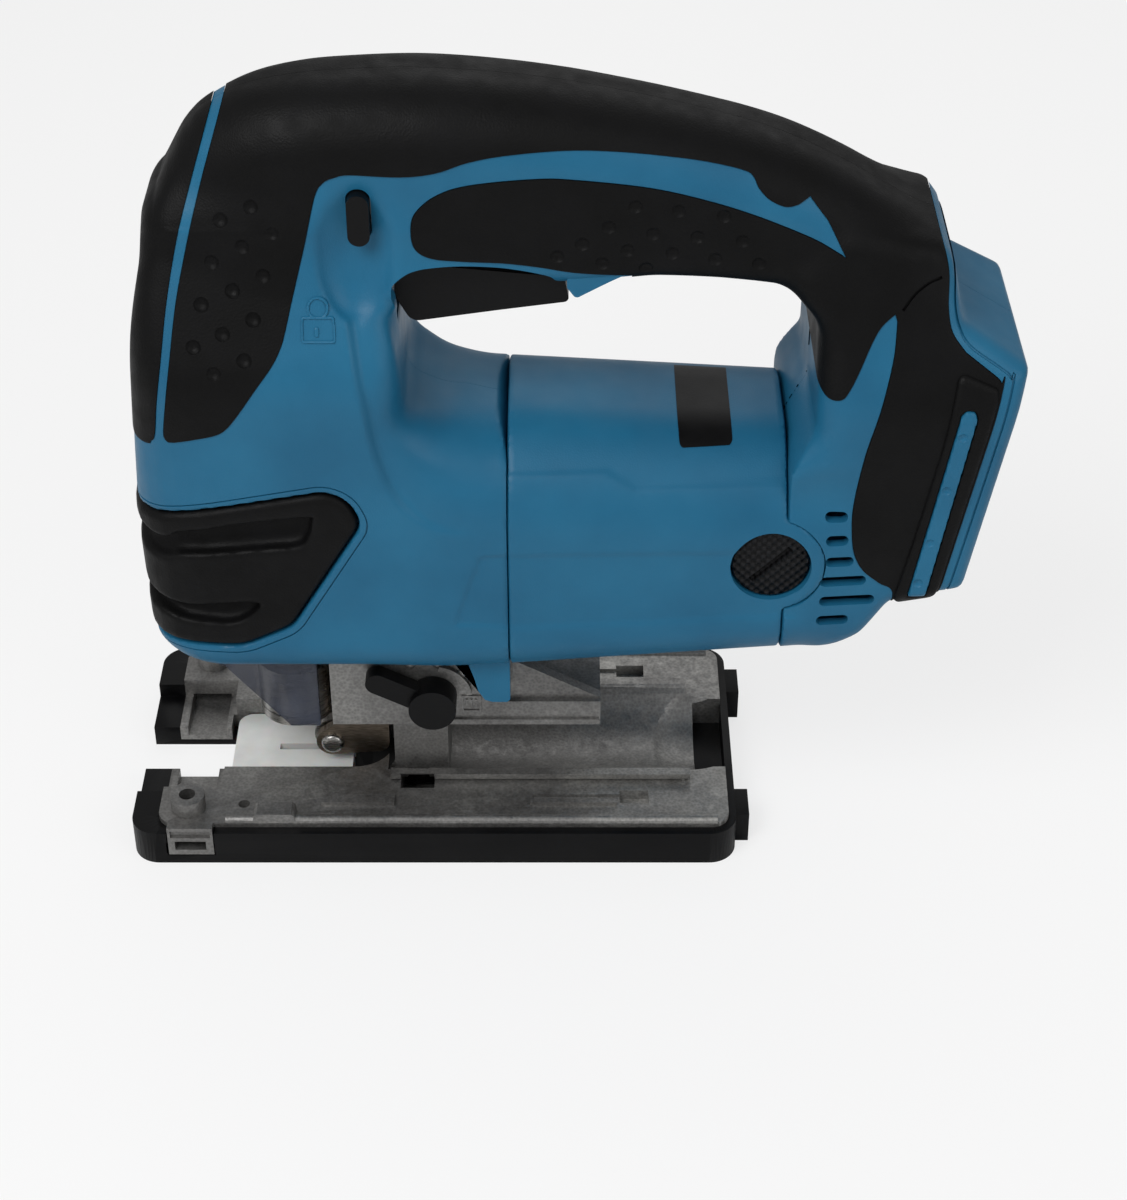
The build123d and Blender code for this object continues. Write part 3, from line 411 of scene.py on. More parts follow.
def ease(values, low, high):
    t = np.clip((values - low) / (high - low), 0, 1)
    return t * t * (3 - 2 * t)


def roundBox(qy, qz, bend):
    return np.hypot(np.maximum(qy, 0), np.maximum(qz, 0)) + np.minimum(np.maximum(qy, qz), 0) - bend


def barrelField(x, y, z):
    v, b = motorValues, bodyValues
    share = (x - b["seamFront"]) / (b["seamRear"] - b["seamFront"])
    low = v["low"] + v["rise"] * share
    high = v["high"] - v["fall"] * share
    bend = np.where(z < (low + high) / 2, v["lowRound"], v["round"])
    qy = np.abs(y) - (v["half"] - bend)
    qz = np.abs(z - (low + high) / 2) - ((high - low) / 2 - bend)
    return roundBox(qy, qz, bend)


def bodyField(xs, ys, zs):
    v = bodyValues
    x, y, z = xs[:, None, None], ys[None, :, None], zs[None, None, :]
    side = sideField(cornerPath(v["side"]), xs, zs)
    section = pathField(cornerPath(v["section"]), ys[:, None], zs[None, :])[None]
    reach, bend = v["planHalf"], v["noseRound"]
    nose, end = v["noseX"], v["planEnd"]
    planPath = cornerPath([(nose, -reach, bend), (end, -reach, 0), (end, reach, 0), (nose, reach, bend)])
    plan = pathField(planPath, xs[:, None], ys[None, :])[:, :, None]
    barrel = barrelField(x, y, z)
    near = ease(x, *v["toMotor"])
    section = section + near * (1 - ease(z, *v["toMotorTop"])) * (barrel - section)
    head = softMax(softMax(side, section, v["edge"]), plan, v["edge"])
    band = v["bandDrop"] * step01(sideField(np.array(v["band"]), xs, zs), v["bandWidth"])
    head = softMax(head + band, x - (v["seamFront"] - v["seamGap"]), v["seamEdge"])
    low, high, half = curve(v["under"], xs), curve(v["top"], xs), curve(v["width"], xs)
    middle, tall = (low + high) / 2, (high - low) / 2
    corner = np.minimum(np.where(z < middle, v["underRound"], v["handleRound"]), tall * v["roundShare"])
    qy = np.abs(y) - (half - corner)
    qz = np.abs(z - middle) - (tall - corner)
    first, last = v["top"][0][0], v["top"][-1][0]
    handleEnds = np.abs(x - (first + last) / 2) - (last - first) / 2
    handle = softMax(roundBox(qy, qz, corner), handleEnds, v["handleEnd"])
    footSection = pathField(cornerPath(v["footSection"]), ys[:, None], zs[None, :])[None]
    share = (1 - ease(x, *v["fromMotor"])) * (1 - ease(z, *v["fromMotorTop"]))
    footSection = footSection + share * (barrel - footSection)
    foot = softMax(sideField(cornerPath(v["footSide"]), xs, zs), footSection, v["footEdge"])
    collar = softMax(barrel + v["collarDrop"] * ease(x, *v["collar"]), x - v["collar"][1], v["seamEdge"])
    foot = softMin(foot, collar, v["collarEdge"])
    foot = softMax(foot + band, v["seamRear"] + v["seamGap"] - x, v["seamEdge"])
    shoulder = step01(sideField(smoothPath(v["shoulder"]), xs, zs), v["shoulderWidth"])
    head = head + (1 - near) * v["shoulderDrop"] * shoulder
    head = head + v["neckDrop"] * near * ease(z, *v["neckTop"])
    joinWidth = v["join"] * (1 - ease(x, *v["joinFade"])) + v["joinLeast"]
    body = softMin(softMin(head, handle, joinWidth), foot, v["join"])
    (cx, cy, cz), (rx, ry, rz) = v["scoop"]["centre"], v["scoop"]["radii"]
    scoop = (np.sqrt(((x - cx) / rx) ** 2 + ((np.abs(y) - cy) / ry) ** 2 + ((z - cz) / rz) ** 2) - 1) * ry
    body = softMax(body, -scoop, v["scoop"]["edge"])
    return softMax(body, -sideField(cornerPath(v["fingerGap"]), xs, zs), v["gapEdge"])


# A closed mesh round the part of a field below zero

def netMesh(name, field, xs, ys, zs, material):
    origin = np.array((xs[0], ys[0], zs[0]))
    step = np.array((xs[1] - xs[0], ys[1] - ys[0], zs[1] - zs[0]))
    inside = field < 0
    shape = np.array(field.shape) - 1
    count = np.zeros(shape, np.int8)
    corners = [(i, j, k) for i in (0, 1) for j in (0, 1) for k in (0, 1)]
    for i, j, k in corners:
        count += inside[i:i + shape[0], j:j + shape[1], k:k + shape[2]]
    cells = np.argwhere((count > 0) & (count < 8))
    total = np.zeros((len(cells), 3))
    hits = np.zeros(len(cells))
    for a in corners:
        for axis in range(3):
            if a[axis]:
                continue
            b = list(a)
            b[axis] = 1
            fa = field[tuple((cells + a).T)]
            fb = field[tuple((cells + b).T)]
            crossing = (fa < 0) != (fb < 0)
            t = np.where(crossing, fa / np.where(crossing, fa - fb, 1), 0)
            spot = np.array(a, float)[None].repeat(len(cells), 0)
            spot[:, axis] += t
            total += spot * crossing[:, None]
            hits += crossing
    points = (origin + (cells + total / hits[:, None]) * step) * mm
    number = np.full(shape, -1, np.int32)
    number[tuple(cells.T)] = np.arange(len(cells))
    quads = []
    for axis in range(3):
        first = [slice(None)] * 3
        second = [slice(None)] * 3
        first[axis] = slice(0, -1)
        second[axis] = slice(1, None)
        change = inside[tuple(first)].astype(np.int8) - inside[tuple(second)].astype(np.int8)
        u, w = [(1, 2), (2, 0), (0, 1)][axis]
        for sign in (1, -1):
            at = np.argwhere(change == sign)
            at = at[(at[:, u] > 0) & (at[:, w] > 0) & (at[:, u] < shape[u]) & (at[:, w] < shape[w])]
            ring = []
            for du, dw in ((0, 0), (1, 0), (1, 1), (0, 1)):
                spot = at.copy()
                spot[:, u] += du - 1
                spot[:, w] += dw - 1
                ring.append(number[tuple(spot.T)])
            quad = np.stack(ring, 1)
            quads.append(quad if sign > 0 else quad[:, ::-1])
    return meshPiece(name, points, np.concatenate(quads), material)


def placed(name, mesh):
    piece = bpy.data.objects.new(name, mesh)
    bpy.context.scene.collection.objects.link(piece)
    return piece


def meshPiece(name, points, quads, material):
    mesh = bpy.data.meshes.new(name)
    mesh.vertices.add(len(points))
    mesh.vertices.foreach_set("co", np.asarray(points, np.float32).ravel())
    mesh.loops.add(quads.size)
    mesh.loops.foreach_set("vertex_index", np.asarray(quads, np.int32).ravel())
    mesh.polygons.add(len(quads))
    mesh.polygons.foreach_set("loop_start", np.arange(0, quads.size, quads.shape[1], dtype=np.int32))
    mesh.update(calc_edges=True)
    mesh.validate()
    mesh.materials.append(material)
    return placed(name, mesh)


def formPiece(name, form, material):
    mesh = bpy.data.meshes.new(name)
    form.to_mesh(mesh)
    form.free()
    mesh.materials.append(material)
    return placed(name, mesh)


def prism(name, path, low, high, material=None, along="y"):
    form = bmesh.new()
    place = "xyz".index(along)
    rings = []
    for t in (low, high):
        rings.append([form.verts.new(Vector((*p[:place], t, *p[place:])) * mm) for p in path])
    form.faces.new(rings[0])
    form.faces.new(list(reversed(rings[1])))
    for i in range(len(path)):
        k = (i + 1) % len(path)
        form.faces.new((rings[0][k], rings[0][i], rings[1][i], rings[1][k]))
    bmesh.ops.triangulate(form, faces=[f for f in form.faces if len(f.verts) > 4])
    bmesh.ops.recalc_face_normals(form, faces=form.faces)
    return formPiece(name, form, material or teal)


def cut(piece, tool, operation="DIFFERENCE"):
    modifier = piece.modifiers.new("cut", "BOOLEAN")
    modifier.object = tool
    modifier.operation = operation
    modifier.solver = "MANIFOLD"
    shown = piece.evaluated_get(bpy.context.evaluated_depsgraph_get())
    mesh = bpy.data.meshes.new_from_object(shown)
    piece.modifiers.clear()
    old = piece.data
    piece.data = mesh
    bpy.data.meshes.remove(old)
    discard(tool)
    return piece


def discard(piece):
    mesh = piece.data
    bpy.data.objects.remove(piece)
    bpy.data.meshes.remove(mesh)


def oneFinish(piece, material):
    piece.data.materials.clear()
    piece.data.materials.append(material)
    piece.data.polygons.foreach_set("material_index", np.zeros(len(piece.data.polygons), np.int32))


def smooth(piece, angle=32):
    piece.data.polygons.foreach_set("use_smooth", np.ones(len(piece.data.polygons), bool))
    piece.data.set_sharp_from_angle(angle=math.radians(angle))


def softEdges(piece, width, segments=3, angle=35):
    bevel = piece.modifiers.new("softEdges", "BEVEL")
    bevel.width = width * mm
    bevel.segments = segments
    bevel.limit_method = "ANGLE"
    bevel.angle_limit = math.radians(angle)
    bevel.harden_normals = False
    smooth(piece)
    return piece


def seat(piece, body, slot, *replaced):
    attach(piece, body)
    if replaced:
        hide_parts(*replaced)
    return piece


def axisSteps(low, high, step):
    return np.arange(low, high + step, step)


# Handle shells and their overmould

gripValues = {
    "step": 0.8, "gridX": (-108.8, 114), "gridY": 35.6, "gridZ": (50, 207), "overlap": 2.4, "trim": 1.2,
    "reach": 40, "depth": 1.4, "proud": 0.25, "edgeGap": 0.13, "parting": 0.05, "layerRise": 1.5,
    "skinGap": 0.05,
    "region": [
        run((-91.2, 124), (-91.9, 124.8), (-92, 126.8), (-90.9, 133.8), (-89.1, 144.7), (-87, 157.6),
            (-83.7, 170.9), (-80, 183.6), (-75.6, 197), (-71.8, 208.9)),
        run((0, 216), (70, 200)),
        run((78, 186), (81, 178), (84.6, 169.8), (86.6, 163), (86.8, 155.4), (88.1, 149.6), (91.4, 145.2)),
        run((98, 140.4), (99.8, 138.6), (99.9, 135.6), (91.7, 88), (88, 66)),
        run((78.6, 68), (79.4, 80.4), (75.7, 83.8), (71.6, 87.7), (69.1, 93.1), (68.2, 100.4), (68.4, 107.3),
            (70, 120.3), (73.1, 133.9), (75.1, 144), (75.5, 152.3)),
        run((74.9, 154.2), (71.2, 150.2), (67.6, 141.8), (65.3, 137), (63.4, 134.7), (60, 134.8), (57, 138.6),
            (55.6, 142)),
        run((44, 142), (17, 150)),
        run((15.4, 160.6), (11.7, 160.9), (1.8, 161.9), (-5, 163.2), (-13.4, 164.4), (-23.2, 165),
            (-29.6, 166), (-33.2, 168.6), (-33.9, 173.5), (-32.7, 177.3), (-28.2, 181.3), (-20.9, 183.8),
            (-6, 185.2), (3.7, 184.8), (19.1, 182.9), (31.8, 179.8), (42.6, 176.2), (53.5, 171.6),
            (63.2, 167)),
        run((58.9, 174.8), (54.7, 179.9)),
        run((52.1, 178.5), (49.3, 178.2), (45.9, 179.7), (43.4, 182.1), (42.2, 184.3), (40.6, 185.6),
            (35.5, 187.1), (26.8, 188.9), (13.2, 190.8), (0.8, 191.6), (-12.6, 190.9), (-21.2, 189.4),
            (-28, 187), (-35.9, 186), (-47, 186.4), (-50.5, 185.7), (-53, 184.4), (-55, 181.1),
            (-57.8, 169.9), (-61.1, 157.6), (-63, 150.4), (-64.2, 147.1), (-66.2, 143.6), (-70.1, 138.4),
            (-74.8, 131.6), (-77.4, 128.3), (-79.9, 126.6), (-85.2, 125.2), (-89.7, 124.1)),
    ],
    "nose": [
        run((-120, 121.5), (-98.7, 121.9), (-95.4, 123.4), (-94.3, 125.7), (-93.2, 133.3), (-91.3, 144.5),
            (-89.3, 157.5), (-86.4, 170.6), (-82.6, 183), (-78.2, 196.4), (-74.4, 208)),
        run((-80, 212), (-120, 207)),
    ],
    "panelDots": [
        (-76.4, 175.8), (-69.4, 178.9), (-64.9, 173.1), (-71.8, 169.6), (-78.9, 165.8), (-67.4, 163.1),
        (-74.4, 160), (-81.5, 157.2), (-69.9, 154.1), (-76.9, 151.1), (-83.6, 148.4), (-72.2, 145.6),
        (-79.2, 142.7),
    ],
    "insertDots": [
        (16, 178.5), (25.5, 177.4), (35.6, 176.1), (10.1, 173.4), (20, 171.7), (29.9, 170.9), (40, 169.9),
        (4.2, 169.1), (14.3, 167.5), (24.4, 166.8), (34.1, 165.3), (43.9, 164.1), (-1.4, 166), (8.7, 164.2),
        (18.6, 162.7),
    ],
    "dotRadius": 2.3, "dotSink": 0.75,
    "vents": [
        (61.7, 67.1, 102.6), (62.2, 67.6, 96.4), (62.4, 69.2, 90.4), (61.4, 72.6, 84.6), (61.6, 75, 78.8),
        (61.2, 69, 73),
    ],
    "lines": [
        (run((80, 186), (83, 178), (86.4, 170), (88.2, 163.4), (88.4, 155.8), (89.7, 150.4), (92.4, 146.4),
             (99.6, 141.6), (101.9, 139.6), (102.1, 135.6), (93.8, 88), (90.4, 70)), 0.6),
    ],
    "crease": run((85, 162), (82, 161), (78.9, 158.6), (76.5, 155)), "creaseWidth": 0.7,
    "lineDepth": 0.4, "openerLine": 2.3, "openerLineWidth": 0.35, "openerEdge": 0.9, "openerGap": 0.4,
    "openerDepth": 4.4, "openerEnd": -81.6, "linerGap": 2.6, "linerDepth": 6.6, "linerEnd": -79.4,
    "ventHeight": 2.8, "ventReach": 17.0, "ventOuter": 36, "lobeGap": 0.12,
    "lip": run((-38.4, 154), (-38.9, 157.4), (-38.2, 160.4), (-34.2, 163.1), (-26.9, 163.7), (-14.4, 163.2),
               (-4.1, 161), (-1.7, 158.9), (0.6, 156.8)),
    "lipFoot": [(0.6, 147), (-37.6, 147)],
    "toolRooms": [((-92.3, -15.3, 40), (-62, 15.3, 66)), ((-62.2, -20, 40), (-10, 20, 66))],
    "triggerRoom": ((-39.6, -14.4, 147), (2.7, 14.4, 166)),
    "sideFrame": [(-130, 0), (130, 0), (130, 260), (-130, 260)],
    "buttonHole": [(-48.3, 169.5, 2.75), (-42.7, 169.5, 2.75), (-42.7, 182.7, 2.75), (-48.3, 182.7, 2.75)],
}
openerOutline = [
    (-115, 99.4, 0), (-52, 110.8, 8), (-48, 101, 5), (-66, 71, 9), (-78, 65.2, 12), (-115, 65.2, 0),
]


def grownPath(path, amount):
    before, after = np.roll(path, 1, 0), np.roll(path, -1, 0)
    along = after - before
    normal = np.stack((along[:, 1], -along[:, 0]), 1)
    normal /= np.maximum(np.linalg.norm(normal, axis=1), 1e-9)[:, None]
    spin = np.sum(path[:, 0] * after[:, 1] - after[:, 0] * path[:, 1])
    return path + normal * amount * (1 if spin > 0 else -1)


motorValues = {
    "step": 0.8, "gridX": (-15, 65), "gridY": (-33.2, 33.2), "gridZ": (51, 128),
    "low": 53.5, "high": 121.8, "rise": 5.5, "fall": 4.0, "half": 31.5, "round": 25.0, "lowRound": 13.0,
    "wall": 3.0, "endEdge": 0.5, "capX": 49.5, "capZ": 89.0, "capRoom": 9.7, "capFloor": 25.6, "capReach": 40,
    "lobe": 13.0, "lobeDepth": 24, "bossDepth": 17, "plateDepth": 2.2, "plateRise": 0.14,
    "facet": [(-16, 112.2), (10.1, 112.2), (16.8, 108.8), (56, 109.5), (56, 140), (-16, 140)],
    "facetDrop": 0.6, "facetWidth": 1.2,
    "label": [(27.5, 115.3, 1), (40.1, 115.3, 1), (38.6, 130, 1), (25.7, 130, 1)], "labelSpan": (-40, 14),
}


def surfaceY(x, z):
    ys = np.arange(0, 34, 0.1)
    field = bodyField(np.array((x, x + 1.0)), ys, np.array((z, z + 1.0)))[0, :, 0]
    return ys[np.argmax(field > 0)]


def ballTool(spots, radius, side, sink):
    form = bmesh.new()
    for x, z in spots:
        place = Vector((x, side * (surfaceY(x, z) + gripValues["proud"] + radius - sink), z)) * mm
        bmesh.ops.create_icosphere(form, subdivisions=3, radius=radius * mm, matrix=Matrix.Translation(place))
    return formPiece("balls", form, rubber)


def pillPath(xLow, xHigh, z, height):
    r = height / 2
    bend = r * 0.98
    corners = ((xLow, z - r), (xHigh, z - r), (xHigh, z + r), (xLow, z + r))
    return cornerPath([(*corner, bend) for corner in corners], 5)


def copyOf(piece, name):
    return placed(name, piece.data.copy())


rearValues = {
    "x": 95.6, "z": 74.0, "lean": 0.1687, "slot": (60, 137), "depth": 9.0, "wall": 2.4, "blockHalf": 23.9,
    "mouth": (-4, 9, 19), "rails": (3.5, 9, 21.5),
}


def slantedSlot(depthLow, depthHigh, half):
    v = rearValues
    low, high = v["slot"]
    corners = []
    for depth, z in ((depthLow, low), (depthHigh, low), (depthHigh, high), (depthLow, high)):
        corners.append((v["x"] + v["lean"] * (z - v["z"]) - depth, z))
    return prism("slot", np.array(corners), -half, half)


def cylinderTool(radius, low, high, x, z, along="y", sides=48):
    turns = np.linspace(0, math.tau, sides, endpoint=False)
    ring = [(x + radius * math.cos(a), z + radius * math.sin(a)) for a in turns]
    return prism("rod", np.array(ring), low, high, along=along)


def bandPath(path, width):
    along = np.gradient(path, axis=0)
    normal = np.stack((-along[:, 1], along[:, 0]), 1)
    normal /= np.linalg.norm(normal, axis=1)[:, None]
    return np.concatenate((path + normal * width / 2, (path - normal * width / 2)[::-1]))


def evenField(field, step):
    steep = np.sqrt(sum(g * g for g in np.gradient(field, step)))
    return field / np.clip(steep, 0.6, 2.0)


def shellHalf(name, side):
    v = gripValues
    step, reach = v["step"], v["reach"]
    xs = axisSteps(*v["gridX"], step)
    zs = axisSteps(*v["gridZ"], step)
    ys = axisSteps(-v["gridY"], v["overlap"], step) if side < 0 else axisSteps(-v["overlap"], v["gridY"], step)
    body = bodyField(xs, ys, zs)
    x, y = xs[:, None, None], ys[None, :, None]
    half = side * -1 * y - v["trim"]
    even = evenField(body, step)
    shell = np.maximum(body, -(even + bodyValues["wall"]))
    area = sideField(cornerPath(openerOutline), xs, zs)
    opener = np.maximum(area - v["openerGap"], -(body + v["openerDepth"]))
    liner = np.maximum(np.maximum(area - v["linerGap"], -(body + v["linerDepth"])), body)
    if side > 0:
        opener = np.maximum(opener, x - v["openerEnd"])
        liner = np.maximum(liner, x - v["linerEnd"])
    shell = softMax(np.minimum(shell, liner), -opener, v["openerEdge"])
    triggerRoom = -boxField(xs, ys, zs, *v["triggerRoom"])
    for room in v["toolRooms"]:
        shell = np.maximum(shell, -boxField(xs, ys, zs, *room))
    shell = np.maximum(shell, triggerRoom)
    shell = np.maximum(np.minimum(shell, slotBlock(xs, ys, zs, body)), half)
    piece = netMesh("shell" + name, shell, xs, ys, zs, teal)
    outside = np.maximum(even - v["layerRise"], half)
    tool = netMesh("pocket", np.maximum(outside, -(even + v["depth"])), xs, ys, zs, teal)
    skin = np.maximum(np.maximum(even - v["proud"], -(even + v["depth"] - v["skinGap"])), half)
    cover = netMesh("skin", np.maximum(skin, triggerRoom), xs, ys, zs, rubber)
    ends = (-reach, -v["parting"]) if side < 0 else (v["parting"], reach)
    pads = []
    for key, padName in (("region", "grip" + name), ("nose", "nosePad" + name)):
        area = np.concatenate(v[key])
        hole = copyOf(tool, "hole")
        cut(hole, prism("area", grownPath(area, v["edgeGap"]), -reach, reach), "INTERSECT")
        cut(piece, hole)
        pad = copyOf(cover, padName)
        cut(pad, prism("area", area, *ends), "INTERSECT")
        pads.append(pad)
    thin = netMesh("lineLayer", np.maximum(outside, -(even + v["lineDepth"])), xs, ys, zs, teal)
    ring = grownPath(cornerPath(openerOutline), v["openerLine"])
    lines = [(piece, path, width) for path, width in v["lines"]]
    if side < 0:
        lines.append((piece, ring, v["openerLineWidth"]))
    lines.append((pads[0], v["crease"], v["creaseWidth"]))
    for target, path, width in lines:
        line = copyOf(thin, "line")
        cut(line, prism("band", bandPath(path, width), -reach, reach), "INTERSECT")
        cut(target, line)
    for spare in (tool, cover, thin):
        discard(spare)
    cut(piece, prism("side", np.array(v["sideFrame"]), *ends), "INTERSECT")
    cut(pads[0], ballTool(v["panelDots"] + v["insertDots"], v["dotRadius"], side, v["dotSink"]))
    outer = sorted((side * v["ventOuter"], side * (v["ventOuter"] - v["ventReach"])))
    for xLow, xHigh, z in v["vents"]:
        cut(piece, prism("vent", pillPath(xLow, xHigh, z, v["ventHeight"]), *outer))
    lobe = motorValues["lobe"] + v["lobeGap"]
    cut(piece, cylinderTool(lobe, -reach, reach, motorValues["capX"], motorValues["capZ"]))
    cut(piece, prism("lip", np.concatenate((v["lip"], v["lipFoot"])), -reach, reach))
    cut(piece, prism("buttonHole", cornerPath(v["buttonHole"]), -reach, reach))
    for target in (piece, pads[0]):
        for key in ("mouth", "rails"):
            cut(target, slantedSlot(*rearValues[key]))
    return piece, pads[0], pads[1]


def slotBlock(xs, ys, zs, body):
    v = rearValues
    depth = v["x"] + v["lean"] * (zs[None, None, :] - v["z"]) - xs[:, None, None]
    inner = np.maximum(depth - v["depth"] - v["wall"], np.abs(ys[None, :, None]) - v["blockHalf"])
    return np.maximum(inner, body)


screwValues = {
    "spots": [(-88, 141), (-54, 193), (16, 179), (67, 152), (75, 84)], "room": 3.8, "seat": 7.0, "reach": 40,
}

for name, side in (("Left", -1), ("Right", 1)):
    shell, grip, nosePad = shellHalf(name, side)
    if side > 0:
        for x, z in screwValues["spots"]:
            for piece in (shell, grip, nosePad):
                span = screwValues["seat"], screwValues["reach"]
                cut(piece, cylinderTool(screwValues["room"], *span, x, z))
    for piece, material in ((shell, teal), (grip, rubber), (nosePad, rubber)):
        oneFinish(piece, material)
        smooth(piece)
    seat(shell, "housing", "teal_plastic", "handle_shell_" + name.lower())
    seat(grip, "housing", "black_elastomer", "grip_overmould_" + name.lower())
    seat(nosePad, "housing", "black_elastomer", "grip_overmould_" + name.lower())
    print("shell half made:", name, len(shell.data.vertices))

railValues = {
    "step": 0.5, "gridX": (77, 107), "gridY": (18, 33.5), "gridZ": (72, 145), "root": 0.6, "rootEdge": 0.3,
    "panelRise": 1.3, "panelEdge": 1.6, "inlayRise": 1.6, "inlayEdge": 0.5, "inlayGap": 0.1,
    "dotRadius": 1.7, "dotSink": 0.6,
    "panel": [
        (89.8, 140.4, 2), (91.6, 140.8, 1.5), (99.4, 137.6, 1.5), (99.4, 134.6, 1.5), (89.8, 79, 1.5),
        (87.4, 75.4, 2), (80.6, 76, 2), (79.4, 79, 3), (83, 97, 30), (87.4, 122, 20),
    ],
    "inlay": [
        (91, 131.4, 0.8), (92.2, 132.8, 0.6), (94.3, 132.4, 0.8), (94.7, 130.4, 0.8), (87, 80.2, 0.5),
        (82.8, 80.2, 0.5),
    ],
    "dots": [(91.7, 126.1), (89.3, 111.4), (86.7, 96.4), (84.8, 84.6)],
}


def railPieces(name, side):
    v = railValues
    step = v["step"]
    xs = axisSteps(*v["gridX"], step)
    ys = axisSteps(*sorted(side * y for y in v["gridY"]), step)
    zs = axisSteps(*v["gridZ"], step)
    body = evenField(bodyField(xs, ys, zs), step)
    panelArea = sideField(cornerPath(v["panel"]), xs, zs)
    inlayArea = sideField(cornerPath(v["inlay"]), xs, zs)
    root = -(body + v["root"])
    panel = softMax(softMax(body - v["panelRise"], panelArea, v["panelEdge"]), root, v["rootEdge"])
    inlay = softMax(softMax(body - v["inlayRise"], inlayArea, v["inlayEdge"]), root, v["rootEdge"])
    panel = np.maximum(panel, v["inlayGap"] - inlayArea)
    pad = netMesh("railPad" + name, panel, xs, ys, zs, rubber)
    stripe = netMesh("railStripe" + name, inlay, xs, ys, zs, teal)
    lift = v["inlayRise"] - gripValues["proud"]
    cut(stripe, ballTool(v["dots"], v["dotRadius"], side, v["dotSink"] - lift))
    oneFinish(stripe, teal)
    smooth(pad)
    smooth(stripe)
    seat(pad, "housing", "black_elastomer")
    seat(stripe, "housing", "teal_plastic")


for name, side in (("Left", -1), ("Right", 1)):
    railPieces(name, side)

signValues = {
    "step": 0.25, "x": (-62, -48), "y": (-32.5, -20), "z": (146, 161),
    "rise": 0.35, "root": 0.8, "rootEdge": 0.1, "line": 0.5,
    "frame": [(-59, 148.9, 0.4), (-51.6, 148.9, 0.4), (-51.8, 153.9, 0.4), (-58.9, 153.9, 0.4)],
    "lock": [(-56.2, 149.8, 0.2), (-55.2, 149.8, 0.2), (-55.2, 152, 0.2), (-56.2, 152, 0.2)],
    "shackle": ((-55.3, 155.9), 2.2, 0.6), "legs": 1.9,
}


def padlockSign():
    v = signValues
    xs = axisSteps(*v["x"], v["step"])
    zs = axisSteps(*v["z"], v["step"])
    ys = axisSteps(*v["y"], v["step"])
    body = bodyField(xs, ys, zs)
    case = np.abs(sideField(cornerPath(v["frame"]), xs, zs)) - v["line"] / 2
    lock = sideField(cornerPath(v["lock"]), xs, zs)
    (cx, cz), radius, width = v["shackle"]
    x, z = xs[:, None, None], zs[None, None, :]
    loop = np.abs(np.hypot(x - cx, z - cz) - radius) - width / 2
    marks = np.minimum(np.minimum(case, lock), np.maximum(loop, cz - v["legs"] - z))
    field = softMax(np.maximum(marks, body - v["rise"]), -(body + v["root"]), v["rootEdge"])
    piece = netMesh("padlockSign", field, xs, ys, zs, teal)
    smooth(piece)
    return piece


seat(padlockSign(), "housing", "teal_plastic")

skirtValues = {
    "outline": [
        (-31, 60), (-30.6, 57.4), (-26.5, 56.6), (-23.6, 54), (-22.2, 49.4), (-21.2, 45), (-19.8, 42.6),
        (-17.8, 41.9), (-14.2, 41.9), (-13.4, 42.7), (-13.4, 60),
    ],
    "span": (-24.4, -20.3),
}
skirt = prism("shellSkirt", np.array(skirtValues["outline"]), *skirtValues["span"], teal)
softEdges(skirt, 0.5)
seat(skirt, "housing", "teal_plastic")
print("rear rails, sign and skirt made")

stopValues = {
    "outline": [
        (0.8, 163, 0), (0.8, 157.4, 0.6), (2.8, 154.6, 1.0), (6.3, 156.6, 0), (10.2, 158.8, 0),
        (15.6, 161.6, 0), (15.6, 163.4, 0),
    ],
    "span": (-17.2, 17.2), "edge": 0.8,
}
fingerStop = prism("fingerStop", cornerPath(stopValues["outline"]), *stopValues["span"], teal)
softEdges(fingerStop, stopValues["edge"])
seat(fingerStop, "housing", "teal_plastic")

triggerValues = {
    "outline": [
        (-38.6, 153.4, 3), (-35, 146.6, 3), (-14.4, 149.7, 40), (1.4, 151.9, 1.2), (0.2, 158.2, 1.2),
        (-34, 161.6, 2), (-38.6, 159.4, 2),
    ],
    "span": (-13.8, 13.8), "edge": 1.6,
}
finger = prism("triggerGrip", cornerPath(triggerValues["outline"]), *triggerValues["span"], moulding)
softEdges(finger, triggerValues["edge"], 4)
seat(finger, "trigger", "black_plastic", "trigger")


# Tool opener round the nose

openerValues = {
    "step": 0.6, "gridX": (-106, -46), "gridY": (-33.4, 33.4), "gridZ": (63, 114), "depth": 3.9, "proud": 0.5,
    "gap": 0.05, "rim": 2.4, "edge": 0.8, "pivot": (-86.0, 27.5), "knuckle": 4.0,
    "grooveDepth": 3.0, "grooveEnd": 19.0, "grooveFloor": 2.0, "grooveEdge": 1.4,
    "upper": [
        (-115, 98), (-96.5, 96.2), (-91, 98.4), (-84.3, 99.8), (-75.8, 101.5), (-60.7, 103.3), (-59.4, 102.2),
        (-60.4, 98), (-63.1, 95), (-72.6, 94), (-84.1, 92.8), (-91, 92), (-97, 90.5), (-115, 91),
    ],
    "lower": [
        (-115, 80), (-96, 77.5), (-89.5, 77.1), (-83.5, 77.9), (-75.7, 78.4), (-73.3, 77.6), (-74.4, 75.7),
        (-77.3, 73.3), (-81.2, 72), (-86.7, 72.2), (-92, 72.6), (-97, 73.5), (-115, 75),
    ],
}


